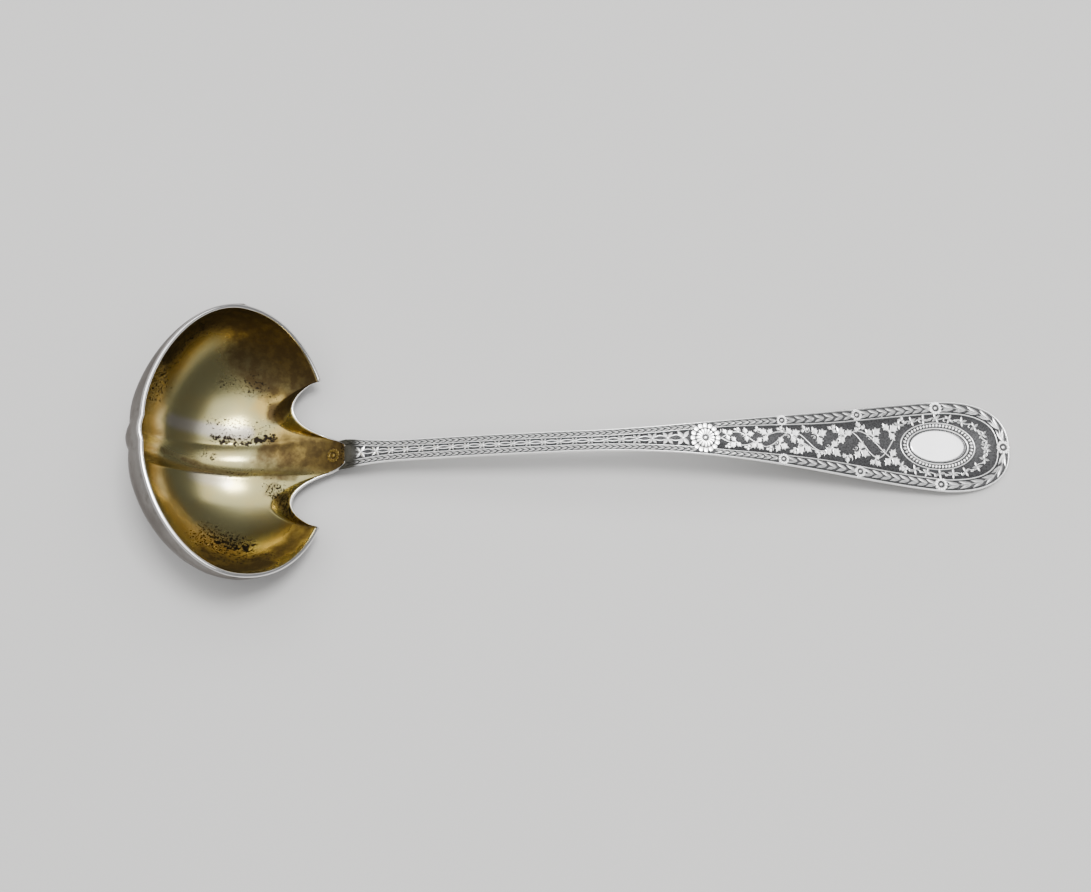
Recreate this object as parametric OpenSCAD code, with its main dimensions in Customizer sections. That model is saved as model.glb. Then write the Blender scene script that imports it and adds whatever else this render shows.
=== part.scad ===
// Gravy ladle, struck in one piece: a wide two-lobed bowl with a fluted middle, two notches
// beside the neck, and a long arched handle carved with laurel bands, rosettes, an ivy vine
// and a plain oval in a ring of beads. It lies on its bowl and on the end of its handle.
// X runs from the bowl to the handle's end, Z is up, and the ladle rests on Z = 0.

/* [Bowl] */
// Width across the two lobes
bowl_w = 56; // [46:1:66]
// Reach of the bowl in front of its hub, the point midway between the sides of the rim
front_r = 19.2; // [16:0.2:24]
// Reach of the belly, which swells out under the front of the lip
belly_r = 22.4; // [20:0.2:24]
// Depth of the floor under the hub
floor_r = 21; // [17:0.2:26]
// Reach of the bowl's back from the hub, along the line to the ears
back_r = 23.8; // [20:0.2:28]
// Thickness of the wall
wall_t = 1.1; // [0.9:0.1:1.6]
// Thickness of the lip
lip_t = 0.8; // [0.6:0.1:1.4]
// Height of the lip's front above the hub, in degrees round the hub
lip_front_a = 26; // [10:1:35]
// Depth of the two ears under the hub, in degrees round the hub
lip_back_a = 47; // [40:1:55]

/* [Flute] */
// Width of the flute at the front of the lip
flute_front_w = 4.8; // [3:0.2:7]
// Width of the flute on the floor
flute_floor_w = 7; // [5:0.2:9]
// Height of the two creases that bound the flute
crease_h = 0.9; // [0.3:0.1:1.4]
// Width of the shoulder that falls from a crease into its lobe
crease_w = 6.5; // [4:0.5:9]

/* [Notches] */
// Distance from the middle to the deepest point of a notch
notch_y = 9.7; // [8:0.1:12]
// Width of a notch between the neck and the ear
notch_w = 11.4; // [8:0.2:13]
// Depth of a notch, in degrees round the hub
notch_a = 16; // [8:1:20]
// How far the edge of a notch is pressed up into the bowl
notch_rise = 3.2; // [1:0.1:4.5]
// Width of the pressed crescent inside a notch, in degrees round the hub
notch_wall_a = 17; // [10:1:24]

/* [Handle] */
// Distance from the hub of the bowl to the end of the handle
handle_l = 158.4; // [135:0.5:185]
// Width of the neck where the stem starts
neck_w = 6.2; // [5:0.1:7]
// Width of the stem
stem_w = 4.3; // [3.6:0.1:5.5]
// Width of the broad end
end_w = 19.6; // [15:0.2:24]
// Length of the round end
end_l = 14.2; // [10:0.2:18]
// Where the stem has its full slimness
stem_x = 31; // [28:0.5:38]
// Where the stem starts to widen
flare_x = 68; // [58:1:76]
// Height of the top face at the slim start of the stem
stem_z = 8.9; // [7:0.1:11]
// Where the arch of the handle is highest
peak_x = 86; // [78:1:96]
// Height of the top face at the peak of the arch
peak_z = 14.2; // [11:0.1:18]
// Thickness of the neck
neck_t = 1.8; // [1.4:0.1:2.4]
// Thickness of the stem
stem_t = 2.7; // [2:0.1:3.6]
// Thickness of the broad end
end_t = 1.6; // [1.2:0.1:2.4]

/* [Carving] */
// Depth of the sunk ground under the carving
sink = 0.3; // [0.15:0.05:0.45]
// Width of the plain edge on the stem
stem_edge_w = 0.24; // [0.18:0.02:0.36]
// Width of the plain edge round the broad end
end_edge_w = 0.42; // [0.3:0.02:0.6]
// Width of the laurel band on the stem
stem_band_w = 0.85; // [0.7:0.05:1]
// Width of the laurel band at the broad end
end_band_w = 2.0; // [1.4:0.1:2.6]
// Width of the plain line inside the laurel band
line_w = 0.2; // [0.12:0.02:0.34]
// Distance from one laurel leaf to the next
leaf_pitch = 1.6; // [1.4:0.1:2.6]
// Distance from one chevron to the next along the stem
chevron_pitch = 1.8; // [1.6:0.1:2.6]
// Radius of the large rosette
rosette_r = 3.05; // [2.4:0.05:3.6]
// Where the large rosette sits
rosette_x = 93.2; // [88:0.2:98]
// Radius of the small rosettes
bud_r = 1.3; // [1:0.05:1.6]
// Radius of the rosette on the neck
neck_rosette_r = 1.5; // [1:0.1:2]
// Length of the plain oval
oval_l = 12; // [9:0.2:14]
// Width of the plain oval
oval_w = 6.8; // [5:0.2:8]
// Distance from the oval's middle to the end of the handle
oval_gap = 15.6; // [13:0.2:18]
// Number of beads round the oval
beads = 38; // [24:2:48]
// Width of the leaves of the ivy
ivy_r = 1.55; // [1:0.05:2]

/* [Hidden] */
SILVER = [0.78, 0.77, 0.74];

// Steps along and across the bowl, and steps round the outline of the handle
BOWL_ROWS = 19;
SIDE_COLS = 7;
NOTCH_COLS = 8;
FLUTE_COLS = 3;
END_STEPS = 9;
FLARE_STEPS = 10;
STEM_STEPS = 4;
NECK_STEPS = 4;

// Angles round the hub: 180 is straight forward, 270 is straight down
FRONT_A = 180 - lip_front_a;
BACK_A = 360 - lip_back_a;
NECK_A = BACK_A + 8;
BELLY_A = 205;
// Powers of the bowl's plan: a circle has 2, a higher power is squarer
FRONT_POWER = 1.85;
BACK_POWER = 2.2;

half_w = bowl_w / 2 - lip_t;
hub_z = floor_r + wall_t;
notch_in = notch_y - notch_w / 2;
notch_out = notch_y + notch_w / 2;

// How far the neck of the bowl runs inside the start of the stem, all round
SEAT = 0.12;

function mix(a, b, t) = a + (b - a) * t;
function unit(t) = max(0, min(1, t));
function smooth(t) = let (u = unit(t)) u * u * (3 - 2 * u);
function hermite(a, b, ta, tb, t) =
    a * (1 + 2 * t) * (1 - t) * (1 - t) + ta * t * (1 - t) * (1 - t)
    + b * t * t * (3 - 2 * t) - tb * t * t * (1 - t);

// BOWL. Each point lies at an angle round the hub and at a distance from the middle plane.
function front_reach(a) = mix(front_r, floor_r, smooth((a - 180) / 90));
function swell(a) = a < BELLY_A ? sin(90 * unit((a - FRONT_A) / (BELLY_A - FRONT_A)))
    : pow(cos(90 * (a - BELLY_A) / (270 - BELLY_A)), 2);
function reach(a) = a < 270
    ? mix(front_reach(a), belly_r, swell(a))
    : floor_r + (back_r - floor_r) * pow((a - 270) / (BACK_A - 270), 2);
function plan_power(a) = mix(FRONT_POWER, BACK_POWER, smooth((a - 180) / 90));
function across(y, a) = let (p = plan_power(a))
    pow(max(0, 1 - pow(min(1, abs(y) / half_w), p)), 1 / p);

// Half the width of the flute: it widens from the lip to the neck
function flute_half(a) = a < 270
    ? mix(flute_front_w, flute_floor_w, smooth((a - FRONT_A) / (270 - FRONT_A))) / 2
    : mix(flute_floor_w / 2, notch_in, smooth((a - 270) / (BACK_A - 270)));
// Height of the creases over the smooth bowl: a cusp on each side of the flute, low at the lip
LIP_CREASE = 0.35;
function crease(y, a) = let (
    d = abs(y) - flute_half(a),
    w = d < 0 ? flute_half(a) : crease_w,
    fade = smooth((NECK_A - a) / 30) * mix(LIP_CREASE, 1, smooth((a - FRONT_A) / 50)))
    crease_h * fade * pow(max(0, 1 - abs(d) / w), 2);

// The back edge of the bowl: the ears, the notches and the neck
function notch_u(y) = (abs(y) - notch_y) * 2 / notch_w;
function notch_dip(y) = abs(notch_u(y)) < 1 ? pow(cos(90 * notch_u(y)), 0.8) : 0;
function back_a(y) = abs(y) < notch_in ? mix(NECK_A, BACK_A, pow(abs(y) / notch_in, 8))
    : BACK_A - notch_a * notch_dip(y);
// How far the wall is pressed up near the notch, falling off away from its edge
function press(y, a) = let (
    side = pow(notch_dip(y), 0.6),
    t = (back_a(y) - a) / (notch_wall_a * max(0.05, side)))
    notch_rise * side * pow(max(0, 1 - t), 1.4);

function bowl_point(y, a, out) = let (
    r = reach(a) - crease(y, a) - press(y, a),
    s = r * across(y, a),
    p = [s * cos(a), y * mix(1, (neck_w / 2 - SEAT) / notch_in, neck_pinch(y, a)), s * sin(a)],
    n = [p.x / pow(reach(a), 2), p.y / pow(half_w, 2), p.z / pow(reach(a), 2)])
    [0, 0, hub_z - rim_sag(p)] + p + n * (out / norm(n));
// From the side, the rim bends from its slope in front to its steeper slope behind. This much
// lower than the two straight lines, it bends smoothly over the length SAG_L at each side.
SAG_L = 6;
SAG_H = 12;
function rim_sag(p) = (tan(lip_back_a) - tan(lip_front_a)) / 2
    * (sqrt(p.x * p.x + SAG_L * SAG_L) - abs(p.x)) * smooth(1 + p.z / SAG_H);
// The columns of the neck draw together towards the stem
function neck_pinch(y, a) = smooth((a - BACK_A + 6) / (NECK_A - BACK_A + 6))
    * smooth((notch_in * 1.5 - abs(y)) / (notch_in * 0.5));

// Distances from the middle of the columns of points, close together round the notches
side_ys = [for (i = [1:SIDE_COLS]) notch_out + (half_w - notch_out) * sin(90 * i / SIDE_COLS)];
notch_ys = [for (i = [1:NOTCH_COLS]) notch_in + notch_w * i / NOTCH_COLS];
flute_ys = [for (i = [1:FLUTE_COLS]) notch_in * i / FLUTE_COLS];
half_ys = concat([0], flute_ys, notch_ys, side_ys);
LAST = len(half_ys) - 1;
bowl_ys = concat([for (i = [LAST:-1:1]) -half_ys[i]], half_ys);
COLS = len(bowl_ys);
// Rows stand closer near the lip and near the back edge
function row_t(i) = let (t = i / BOWL_ROWS) mix(t, (1 - cos(180 * t)) / 2, 0.35);
function wall(t) = mix(wall_t, lip_t, pow(abs(2 * t - 1), 6));

// The columns spread with the flute from the lip to the neck, so that they follow its creases
function spread(y, t) = let (f = flute_half(mix(FRONT_A, BACK_A, t)), d = abs(y))
    sign(y) * (d < notch_in ? d * f / notch_in
        : d < notch_out ? mix(f, notch_out, (d - notch_in) / notch_w) : d);

// One skin of the bowl: a point at each side of the lip and a grid between them
function skin(outer) = concat(
    [bowl_point(-half_w, 270, outer ? wall(0) : 0)],
    [for (j = [1:COLS - 2]) for (i = [0:BOWL_ROWS]) let (y = bowl_ys[j], t = row_t(i))
        bowl_point(spread(y, t), mix(FRONT_A, back_a(y), t), outer ? wall(t) : 0)],
    [bowl_point(half_w, 270, outer ? wall(0) : 0)]);
SKIN = (COLS - 2) * (BOWL_ROWS + 1) + 2;
function at(j, i) = j == 0 ? 0 : j == COLS - 1 ? SKIN - 1 : 1 + (j - 1) * (BOWL_ROWS + 1) + i;
function whole(faces) = [for (f = faces) if (f[0] != f[1] && f[1] != f[2] && f[2] != f[0]) f];

module bowl() {
    inner = [for (j = [0:COLS - 2]) for (i = [0:BOWL_ROWS - 1])
        each [[at(j, i), at(j + 1, i + 1), at(j, i + 1)], [at(j, i), at(j + 1, i), at(j + 1, i + 1)]]];
    outer = [for (f = inner) [f[2] + SKIN, f[1] + SKIN, f[0] + SKIN]];
    lip = [for (j = [0:COLS - 2]) for (e = [[at(j, 0), at(j + 1, 0)],
            [at(j + 1, BOWL_ROWS), at(j, BOWL_ROWS)]])
        each [[e[0], e[1] + SKIN, e[1]], [e[0], e[0] + SKIN, e[1] + SKIN]]];
    polyhedron(concat(skin(false), skin(true)), whole(concat(inner, outer, lip)), convexity = 6);
}

// HANDLE. The top face follows the spine, and the outline is drawn in plan.
neck_r = reach(NECK_A);
neck_x = neck_r * cos(NECK_A);
neck_z = hub_z + neck_r * sin(NECK_A);
NECK_SLOPE = 0.46;
STEM_SLOPE = 0.17;
END_SLOPE = 0.15;
// Inside the neck the start of the stem falls away at this slope
DIVE = 0.9;
ROOT_L = 3;
ROOT_T = 0.6;
// The lower corner of the edge lies at this share of the thickness, and the end rests on it
EDGE_DEPTH = 0.6;
tip_z = end_t * EDGE_DEPTH;
end_z = tip_z + END_SLOPE * end_l;
end_x = handle_l - end_l;
function spine_z(x) = x < neck_x
    ? neck_z + SEAT - DIVE * (neck_x - x)
    : x < stem_x
    ? let (l = stem_x - neck_x) hermite(neck_z + SEAT, stem_z, NECK_SLOPE * l, STEM_SLOPE * l, (x - neck_x) / l)
    : x < peak_x
    ? let (l = peak_x - stem_x) hermite(stem_z, peak_z, STEM_SLOPE * l, 0, (x - stem_x) / l)
    : x < end_x
    ? let (l = end_x - peak_x) hermite(peak_z, end_z, 0, -END_SLOPE * l, (x - peak_x) / l)
    : tip_z + END_SLOPE * (handle_l - x);

// Half the width of the handle: neck, stem, a long flare and a round end
END_POWER = 2.5;
function flare(t) = let (u = 1 - t) [
    flare_x * u * u * u + mix(flare_x, end_x, 0.41) * 3 * u * u * t
        + mix(flare_x, end_x, 0.79) * 3 * u * t * t + end_x * t * t * t,
    (stem_w * (u * u * u + 3 * u * u * t) + (end_w * 0.89) * 3 * u * t * t + end_w * t * t * t) / 2];
function round_end(t) = [end_x + end_l * pow(cos(90 * t), 2 / END_POWER),
    end_w / 2 * pow(sin(90 * t), 2 / END_POWER)];
function stem(x) = [x, mix(stem_w, neck_w, pow(unit((stem_x - x) / (stem_x - neck_x)), 1.6)) / 2];
// Half the outline, from the tip to the neck
half_line = concat(
    [for (i = [0:END_STEPS]) round_end(i / END_STEPS)],
    [for (i = [FLARE_STEPS - 1:-1:0]) flare(i / FLARE_STEPS)],
    [for (i = [1:STEM_STEPS]) stem(mix(flare_x, stem_x, i / STEM_STEPS))],
    [for (i = [1:NECK_STEPS]) stem(mix(stem_x, neck_x, i / NECK_STEPS))],
    [stem(neck_x - ROOT_L)]);
K = len(half_line) - 1;
function outline(k) = let (p = half_line[abs(k)]) [p.x, k < 0 ? -p.y : p.y];
// Straight across the handle, and round its end square to the outline, so that the top face of
// each stretch between two stations is flat
function inward(k) = abs(k) < END_STEPS
    ? let (d = outline(k + 1) - outline(k - 1)) [d.y, -d.x] / -norm(d)
    : [0, -sign(k)];

function thick(x) = x < neck_x ? mix(neck_t, ROOT_T, (neck_x - x) / ROOT_L)
    : x < flare_x ? mix(neck_t, stem_t, smooth((x - neck_x) / (stem_x - neck_x)))
    : mix(stem_t, end_t, smooth((x - flare_x) / (end_x - flare_x)));
function broad(x) = smooth((x - rosette_x) / 30);
function edge_w(x) = mix(stem_edge_w, end_edge_w, broad(x));
function band_w(x) = mix(stem_band_w, end_band_w, broad(x));
function sunk(x) = sink * smooth((x - neck_x - 2) / 3);

BEVEL = 0.12;
// A section of the handle at one place of its outline: [inset, share of the way in, depth]
function section(x) = let (g = sunk(x), e = edge_w(x), b = e + BEVEL + band_w(x)) [
    [0, 0.45, thick(x)], [0, 0.05, thick(x) * EDGE_DEPTH], [0, 0, BEVEL],
    [BEVEL, 0, 0], [e, 0, 0], [e + BEVEL, 0, g],
    [b, 0, g], [b + BEVEL, 0, g * 0.2], [b + BEVEL + line_w, 0, g * 0.2],
    [b + BEVEL * 2 + line_w, 0, g]];
M = len(section(0));
function spine_x(k) = let (x = outline(k).x) x < end_x ? x : mix(end_x, x, 0.3);
function handle_point(k, m) = let (
    o = outline(k), s = [spine_x(k), 0], c = section(o.x)[m],
    q = mix(o + inward(k) * c[0], s, c[1]))
    [q.x, q.y, spine_z(q.x) - c[2]];

module handle() {
    SIDE = (2 * K + 1) * M;
    points = concat(
        [for (k = [-K:K]) for (m = [0:M - 1]) handle_point(k, m)],
        [for (k = [0:K]) [spine_x(k), 0, spine_z(spine_x(k)) - thick(outline(k).x)]]);
    function id(k, m) = m < 0 ? SIDE + abs(k) : (k + K) * M + m;
    sides = [for (k = [-K:K - 1]) for (m = [-1:M - 2])
        each [[id(k, m), id(k, m + 1), id(k + 1, m + 1)], [id(k, m), id(k + 1, m + 1), id(k + 1, m)]]];
    field = [for (k = [0:K - 1]) let (m = M - 1)
        each [[id(k, m), id(-k - 1, m), id(k + 1, m)], [id(k, m), id(-k, m), id(-k - 1, m)]]];
    cap = concat([for (m = [0:M - 1]) id(-K, m)], [for (m = [M - 1:-1:-1]) id(K, m)]);
    polyhedron(points, whole(concat(sides, field, [[for (i = [len(cap) - 1:-1:0]) cap[i]]])), convexity = 6);
}

// CARVING. Shapes stand on the sunk ground, and their feet go a little way into it.
FOOT = 0.08;
// How far the rosettes stand over the plain edge
PROUD = 0.1;
LEAF_H = sink + FOOT;
LINE_H = sink * 0.7;
// The ground runs straight from one station of the handle to the next
ground_line = [for (k = [K:-1:0]) let (p = handle_point(k, M - 1)) [p.x, p.z]];
function ground_z(x) = lookup(x, ground_line);
function tilt(x) = atan(ground_z(x + 0.5) - ground_z(x - 0.5));
module on_ground(x, y, turn = 0)
    translate([x, y, ground_z(x) - FOOT]) rotate([0, -tilt(x), 0]) rotate(turn) children();

// A ridge along a line of points in plan, open or closed
module strand(line, w, h, closed = false) {
    n = len(line);
    last = closed ? n - 1 : n - 2;
    function side(i) = let (
        a = line[closed ? (i + n - 1) % n : max(0, i - 1)],
        b = line[closed ? (i + 1) % n : min(n - 1, i + 1)],
        d = b - a)
        [d.y, -d.x] / norm(d) * w / 2;
    points = [for (i = [0:n - 1]) let (p = line[i], z = ground_z(p.x)) each [
        [p.x + side(i).x, p.y + side(i).y, z - FOOT],
        [p.x, p.y, z + h],
        [p.x - side(i).x, p.y - side(i).y, z - FOOT]]];
    walls = [for (i = [0:last]) for (m = [0:2]) let (
        a = 3 * i, b = 3 * ((i + 1) % n), c = (m + 1) % 3)
        each [[a + m, a + c, b + c], [a + m, b + c, b + m]]];
    caps = closed ? [] : [[2, 1, 0], [3 * n - 3, 3 * n - 2, 3 * n - 1]];
    polyhedron(points, concat(walls, caps), convexity = 6);
}

// The large rosette: a ring of petals round a scalloped disc and a boss
PETALS = 14;
PETAL_TOP = 0.6;
INNER_R = 0.62;
BOSS_R = 0.2;
module petal(inner, outer, w, h)
    hull() {
        translate([inner, 0, 0]) cylinder(r = w * 0.4, h = h * PETAL_TOP, $fn = 3);
        translate([outer - w, 0, 0]) cylinder(r1 = w, r2 = w * PETAL_TOP, h = h, $fn = 5);
    }
module scallops(r, n, h, dip) linear_extrude(height = h, scale = 0.75)
    polygon([for (i = [0:2 * n - 1]) r * (i % 2 == 0 ? 1 : 1 - dip) * [cos(180 * i / n), sin(180 * i / n)]]);
module boss(r, h) cylinder(r1 = r, r2 = r / 2, h = h, $fn = 6);
module rosette(r, h) {
    for (i = [0:PETALS - 1]) rotate(360 * i / PETALS)
        petal(r * INNER_R, r, r * sin(180 / PETALS), h * 0.85);
    scallops(r * INNER_R, PETALS - 4, h, 0.2);
    boss(r * BOSS_R, h * 1.25);
}
// A small rosette: a scalloped disc and a boss
BUD_PETALS = 7;
module bud(r, h) {
    scallops(r, BUD_PETALS, h, 0.16);
    boss(r * 0.4, h * 1.35);
}

// A pair of laurel leaves pointing along X, and an ivy leaf with five lobes, given by angle
// and distance from its middle
LEAF = [[1.05, 0], [-0.15, 1], [-0.8, 0.9], [-0.35, 0], [-0.8, -0.9], [-0.15, -1]];
IVY = [[0, 1], [30, 0.52], [58, 0.9], [92, 0.46], [134, 0.68], [180, 0.22],
    [226, 0.68], [268, 0.46], [302, 0.9], [330, 0.52]];
// Share of an ivy leaf that is its flat top
IVY_TOP = 0.6;
module leaf(l, w) linear_extrude(height = LEAF_H, scale = 0) scale([l, w]) polygon(LEAF);
module ivy(r, top = IVY_TOP) linear_extrude(height = LEAF_H, scale = top)
    polygon([for (p = IVY) r * p[1] * [cos(p[0]), sin(p[0])]]);

// The middle line of the laurel band, measured from the tip towards the neck
band_line = [for (k = [0:K]) let (o = outline(k))
    o + inward(k) * (edge_w(o.x) + BEVEL + band_w(o.x) / 2)];
band_run = [for (i = 0, d = 0; i <= K; d = d + (i < K ? norm(band_line[i + 1] - band_line[i]) : 0), i = i + 1) d];
band_xs = [for (i = [0:K]) [band_run[i], band_line[i].x]];
band_ys = [for (i = [0:K]) [band_run[i], band_line[i].y]];
function band_at(d) = [lookup(d, band_xs), lookup(d, band_ys)];
function band_turn(d) = let (v = band_at(d - 0.3) - band_at(d + 0.3)) atan2(v.y, v.x);
function band_near(x) = let (l = [for (i = [0:K]) [-band_line[i].x, band_line[i].y]]) [x, lookup(-x, l)];

// Small rosettes sit on the band at the tip and at three places on each side
oval_x = handle_l - oval_gap;
bud_xs = [oval_x, mix(rosette_x, oval_x, 0.645), mix(rosette_x, oval_x, 0.32)];
bud_spots = concat([band_line[0]], [for (x = bud_xs) band_near(x)]);
function near_bud(p) = min([for (b = bud_spots) norm(p - b)]) < bud_r + leaf_pitch * 0.4;

// How much of the pitch and of the band's width a leaf takes up on each side of its middle
LEAF_FILL_L = 0.6;
LEAF_FILL_W = 0.5;
module laurel() {
    for (d = [leaf_pitch / 2:leaf_pitch:band_run[K]]) {
        p = band_at(d);
        if (p.x > rosette_x + rosette_r && !near_bud(p)) for (s = [-1, 1])
            on_ground(p.x, s * p.y, s * band_turn(d))
                leaf(leaf_pitch * LEAF_FILL_L, band_w(p.x) * LEAF_FILL_W);
    }
}
module chevrons() {
    for (x = [stem_start:chevron_pitch:rosette_x - rosette_r - chevron_pitch / 2]) for (s = [-1, 1])
        on_ground(x, s * band_near(x).y) leaf(chevron_pitch * LEAF_FILL_L, band_w(x) * LEAF_FILL_W);
}

// The rosette on the neck is low, and it lies on the slope of the bowl's back
NECK_BUD_A = 4.5;
module rosettes() {
    on_ground(rosette_x, 0) rosette(rosette_r, LEAF_H + PROUD * 2);
    for (b = bud_spots) for (s = b.y > 0 ? [-1, 1] : [1]) on_ground(b.x, s * b.y)
        bud(bud_r, LEAF_H + PROUD);
    a = NECK_A - NECK_BUD_A;
    d = bowl_point(0, a + 1, 0) - bowl_point(0, a - 1, 0);
    translate(bowl_point(0, a, 0)) rotate([0, -atan2(d.z, d.x), 0]) translate([0, 0, -FOOT])
        bud(neck_rosette_r, FOOT + PROUD);
}

// Round the plain oval come a ring line, the beads and an outer line. Each gap is that across
// the oval, and at its ends the gap is wider.
OVAL_STEPS = 24;
OVAL_BEVEL = 0.95;
RING_GAP = 0.45;
RING_W = 0.42;
BEAD_GAP = 1.05;
BEAD_SIZE = [0.6, 0.44];
OUTER_GAP = 1.6;
OUTER_W = 0.34;
END_GAP = 1.25;
function round_oval(gap, t, side = 1) = [oval_x + (oval_l / 2 + gap * END_GAP) * cos(t),
    side * (oval_w / 2 + gap) * sin(t)];
function oval_line(gap) = [for (i = [0:OVAL_STEPS - 1]) round_oval(gap, 360 * i / OVAL_STEPS)];
module oval() {
    on_ground(oval_x, 0) scale([oval_l, oval_w, 1])
        cylinder(d1 = 1, d2 = OVAL_BEVEL, h = LEAF_H, $fn = OVAL_STEPS);
    strand(oval_line(RING_GAP), RING_W, LINE_H, true);
    for (i = [0:beads - 1]) let (t = 360 * i / beads, p = round_oval(BEAD_GAP, t))
        on_ground(p.x, p.y, atan2(oval_w * cos(t), -oval_l * sin(t)))
            scale([BEAD_SIZE.x, BEAD_SIZE.y, 1]) cylinder(r1 = 1, r2 = 0, h = LEAF_H + PROUD, $fn = 4);
    strand(oval_line(OUTER_GAP), OUTER_W, LINE_H, true);
}

// Half the width of the field between the two inner lines
function field(x) = let (i = edge_w(x) + BEVEL * 3 + band_w(x) + line_w)
    max(0.1, lookup(-x, [for (k = [0:K]) [-outline(k).x, outline(k).y]]) - i);

// The ivy runs in waves from the large rosette to the oval, with a leaf in each bend
VINE_W = 0.35;
VINE_STEP = 1.6;
VINE_WAVE = 10;
VINE_SWING = 0.42;
IVY_LEAVES = 8;
module ivy_vine() {
    a = rosette_x + rosette_r;
    b = oval_x - oval_l / 2 - OUTER_GAP - VINE_W;
    strand([for (x = [a:VINE_STEP:b]) [x, field(x) * VINE_SWING * sin(360 * (x - rosette_x) / VINE_WAVE)]],
        VINE_W, LINE_H);
    for (i = [1:IVY_LEAVES]) let (x = mix(a, b, i / (IVY_LEAVES + 0.3)), f = field(x), s = i % 2 == 0 ? 1 : -1) {
        on_ground(x, s * f * 0.5, s * 40) ivy(min(ivy_r * 1.1, f * 0.5));
        if (i > 2) on_ground(x + 0.6, -s * f * 0.64, -s * 30) ivy(min(ivy_r, f * 0.34), 0);
    }
    for (s = [-1, 1]) on_ground(b - ivy_r, s * field(b) * 0.62, s * 20) ivy(ivy_r * 1.15);
}

// A fine vine with small leaves runs on each side of the oval to the end of the handle
TWIG_W = 0.26;
TWIG_GAP = 2.35;
TWIG_FIRST = 8;
TWIG_LAST = 112;
TWIG_STEP = 20;
TWIG_LEAF = 0.7;
TWIG_LEAF_STEP = 24;
module twigs() {
    for (s = [-1, 1]) {
        strand([for (t = [TWIG_FIRST:TWIG_STEP:TWIG_LAST]) round_oval(TWIG_GAP, t, s)], TWIG_W, LINE_H);
        for (t = [TWIG_FIRST + 6:TWIG_LEAF_STEP:TWIG_LAST]) let (p = round_oval(TWIG_GAP, t, s))
            on_ground(p.x, p.y, s * (t + 50)) leaf(TWIG_LEAF, TWIG_LEAF * 0.8);
    }
}

// The stem's vine weaves through knots of small leaves
stem_start = neck_x + 5;
STEM_WAVE = 6.4;
STEM_SWING = 0.4;
KNOT_L = 0.8;
KNOT_W = 0.75;
module stem_vine() {
    b = rosette_x - rosette_r - line_w;
    strand([for (x = [stem_start:STEM_WAVE / 4:b])
        [x, field(x) * STEM_SWING * sin(45 + 360 * (x - stem_start) / STEM_WAVE)]], OUTER_W, LINE_H);
    for (x = [stem_start + STEM_WAVE / 8:STEM_WAVE / 2:b]) on_ground(x, 0) leaf(KNOT_L, field(x) * KNOT_W);
}

// The belly reaches this far in front of the hub
front_l = max([for (a = [FRONT_A:1:BELLY_A + 20]) -(reach(a) + wall_t) * cos(a)]);
shift_x = (front_l - handle_l) / 2;

module ladle() {
    color(SILVER) translate([shift_x, 0, 0]) union() {
        bowl();
        handle();
        laurel();
        chevrons();
        rosettes();
        oval();
        ivy_vine();
        twigs();
        stem_vine();
    }
}

ladle();
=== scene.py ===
"""A gravy ladle of worn silver: a two-lobed fluted bowl, gilt inside, and an arched handle carved
with laurel bands, rosettes, an ivy vine and a plain oval in a ring of beads.

Lengths are in millimetres, as in the solid, and X is counted from the hub of the bowl, until
make_mesh brings a shape to metres and to its place in the frame.
"""
import itertools
import math
import random

import bmesh
import bpy
import numpy as np
from mathutils import Matrix, Vector


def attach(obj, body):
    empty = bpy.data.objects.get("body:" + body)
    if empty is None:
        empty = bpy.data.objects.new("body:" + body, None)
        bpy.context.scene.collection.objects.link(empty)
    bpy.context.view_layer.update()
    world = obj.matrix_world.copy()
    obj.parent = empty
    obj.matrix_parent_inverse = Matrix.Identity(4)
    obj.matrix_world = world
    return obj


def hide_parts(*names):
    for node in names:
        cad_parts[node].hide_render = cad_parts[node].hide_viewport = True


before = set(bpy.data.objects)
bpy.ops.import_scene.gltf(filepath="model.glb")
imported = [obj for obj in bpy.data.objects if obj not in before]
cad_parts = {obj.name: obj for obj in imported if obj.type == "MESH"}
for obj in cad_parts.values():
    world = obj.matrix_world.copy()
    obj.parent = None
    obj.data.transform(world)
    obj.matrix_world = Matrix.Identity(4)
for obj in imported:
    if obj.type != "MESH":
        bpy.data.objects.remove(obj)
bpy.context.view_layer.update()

MM = 0.001

# Bowl
BOWL_W = 56.0
FRONT_R = 19.2
BELLY_R = 22.4
BELLY_A = 205.0
FLOOR_R = 21.0
BACK_R = 23.8
WALL_T = 1.1
LIP_T = 0.8
LIP_FRONT_A = 26.0
LIP_BACK_A = 47.0
FLUTE_FRONT_W = 4.8
FLUTE_FLOOR_W = 7.0
CREASE_H = 0.9
CREASE_W = 6.5
CREASE_ROUND = 0.3
LIP_CREASE = 0.35
NOTCH_Y = 9.7
NOTCH_W = 11.4
NOTCH_A = 16.0
NOTCH_RISE = 3.2
NOTCH_WALL_A = 17.0
FRONT_POWER = 1.85
BACK_POWER = 2.2
SAG_L = 6.0
SAG_H = 12.0
SEAT = 0.12

# Handle
HANDLE_L = 158.4
NECK_W = 6.2
STEM_W = 4.3
END_W = 19.6
END_L = 14.2
STEM_X = 31.0
FLARE_X = 68.0
STEM_Z = 8.9
PEAK_X = 86.0
PEAK_Z = 14.2
NECK_T = 1.8
ROOT_T = 0.9
STEM_T = 2.7
END_T = 1.6
NECK_SLOPE = 0.46
STEM_SLOPE = 0.17
END_SLOPE = 0.15
EDGE_DEPTH = 0.6
END_POWER = 2.5
ROOT_L = 3.0

# Carving
SINK = 0.3
STEM_EDGE_W = 0.24
END_EDGE_W = 0.42
STEM_BAND_W = 0.95
END_BAND_W = 2.0
LINE_W = 0.34
FOOT = 0.08
ROSETTE_X = 93.2
ROSETTE_R = 3.1
OVAL_L = 12.0
OVAL_W = 6.8
OVAL_GAP = 15.6
END_GAP = 1.25

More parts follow.
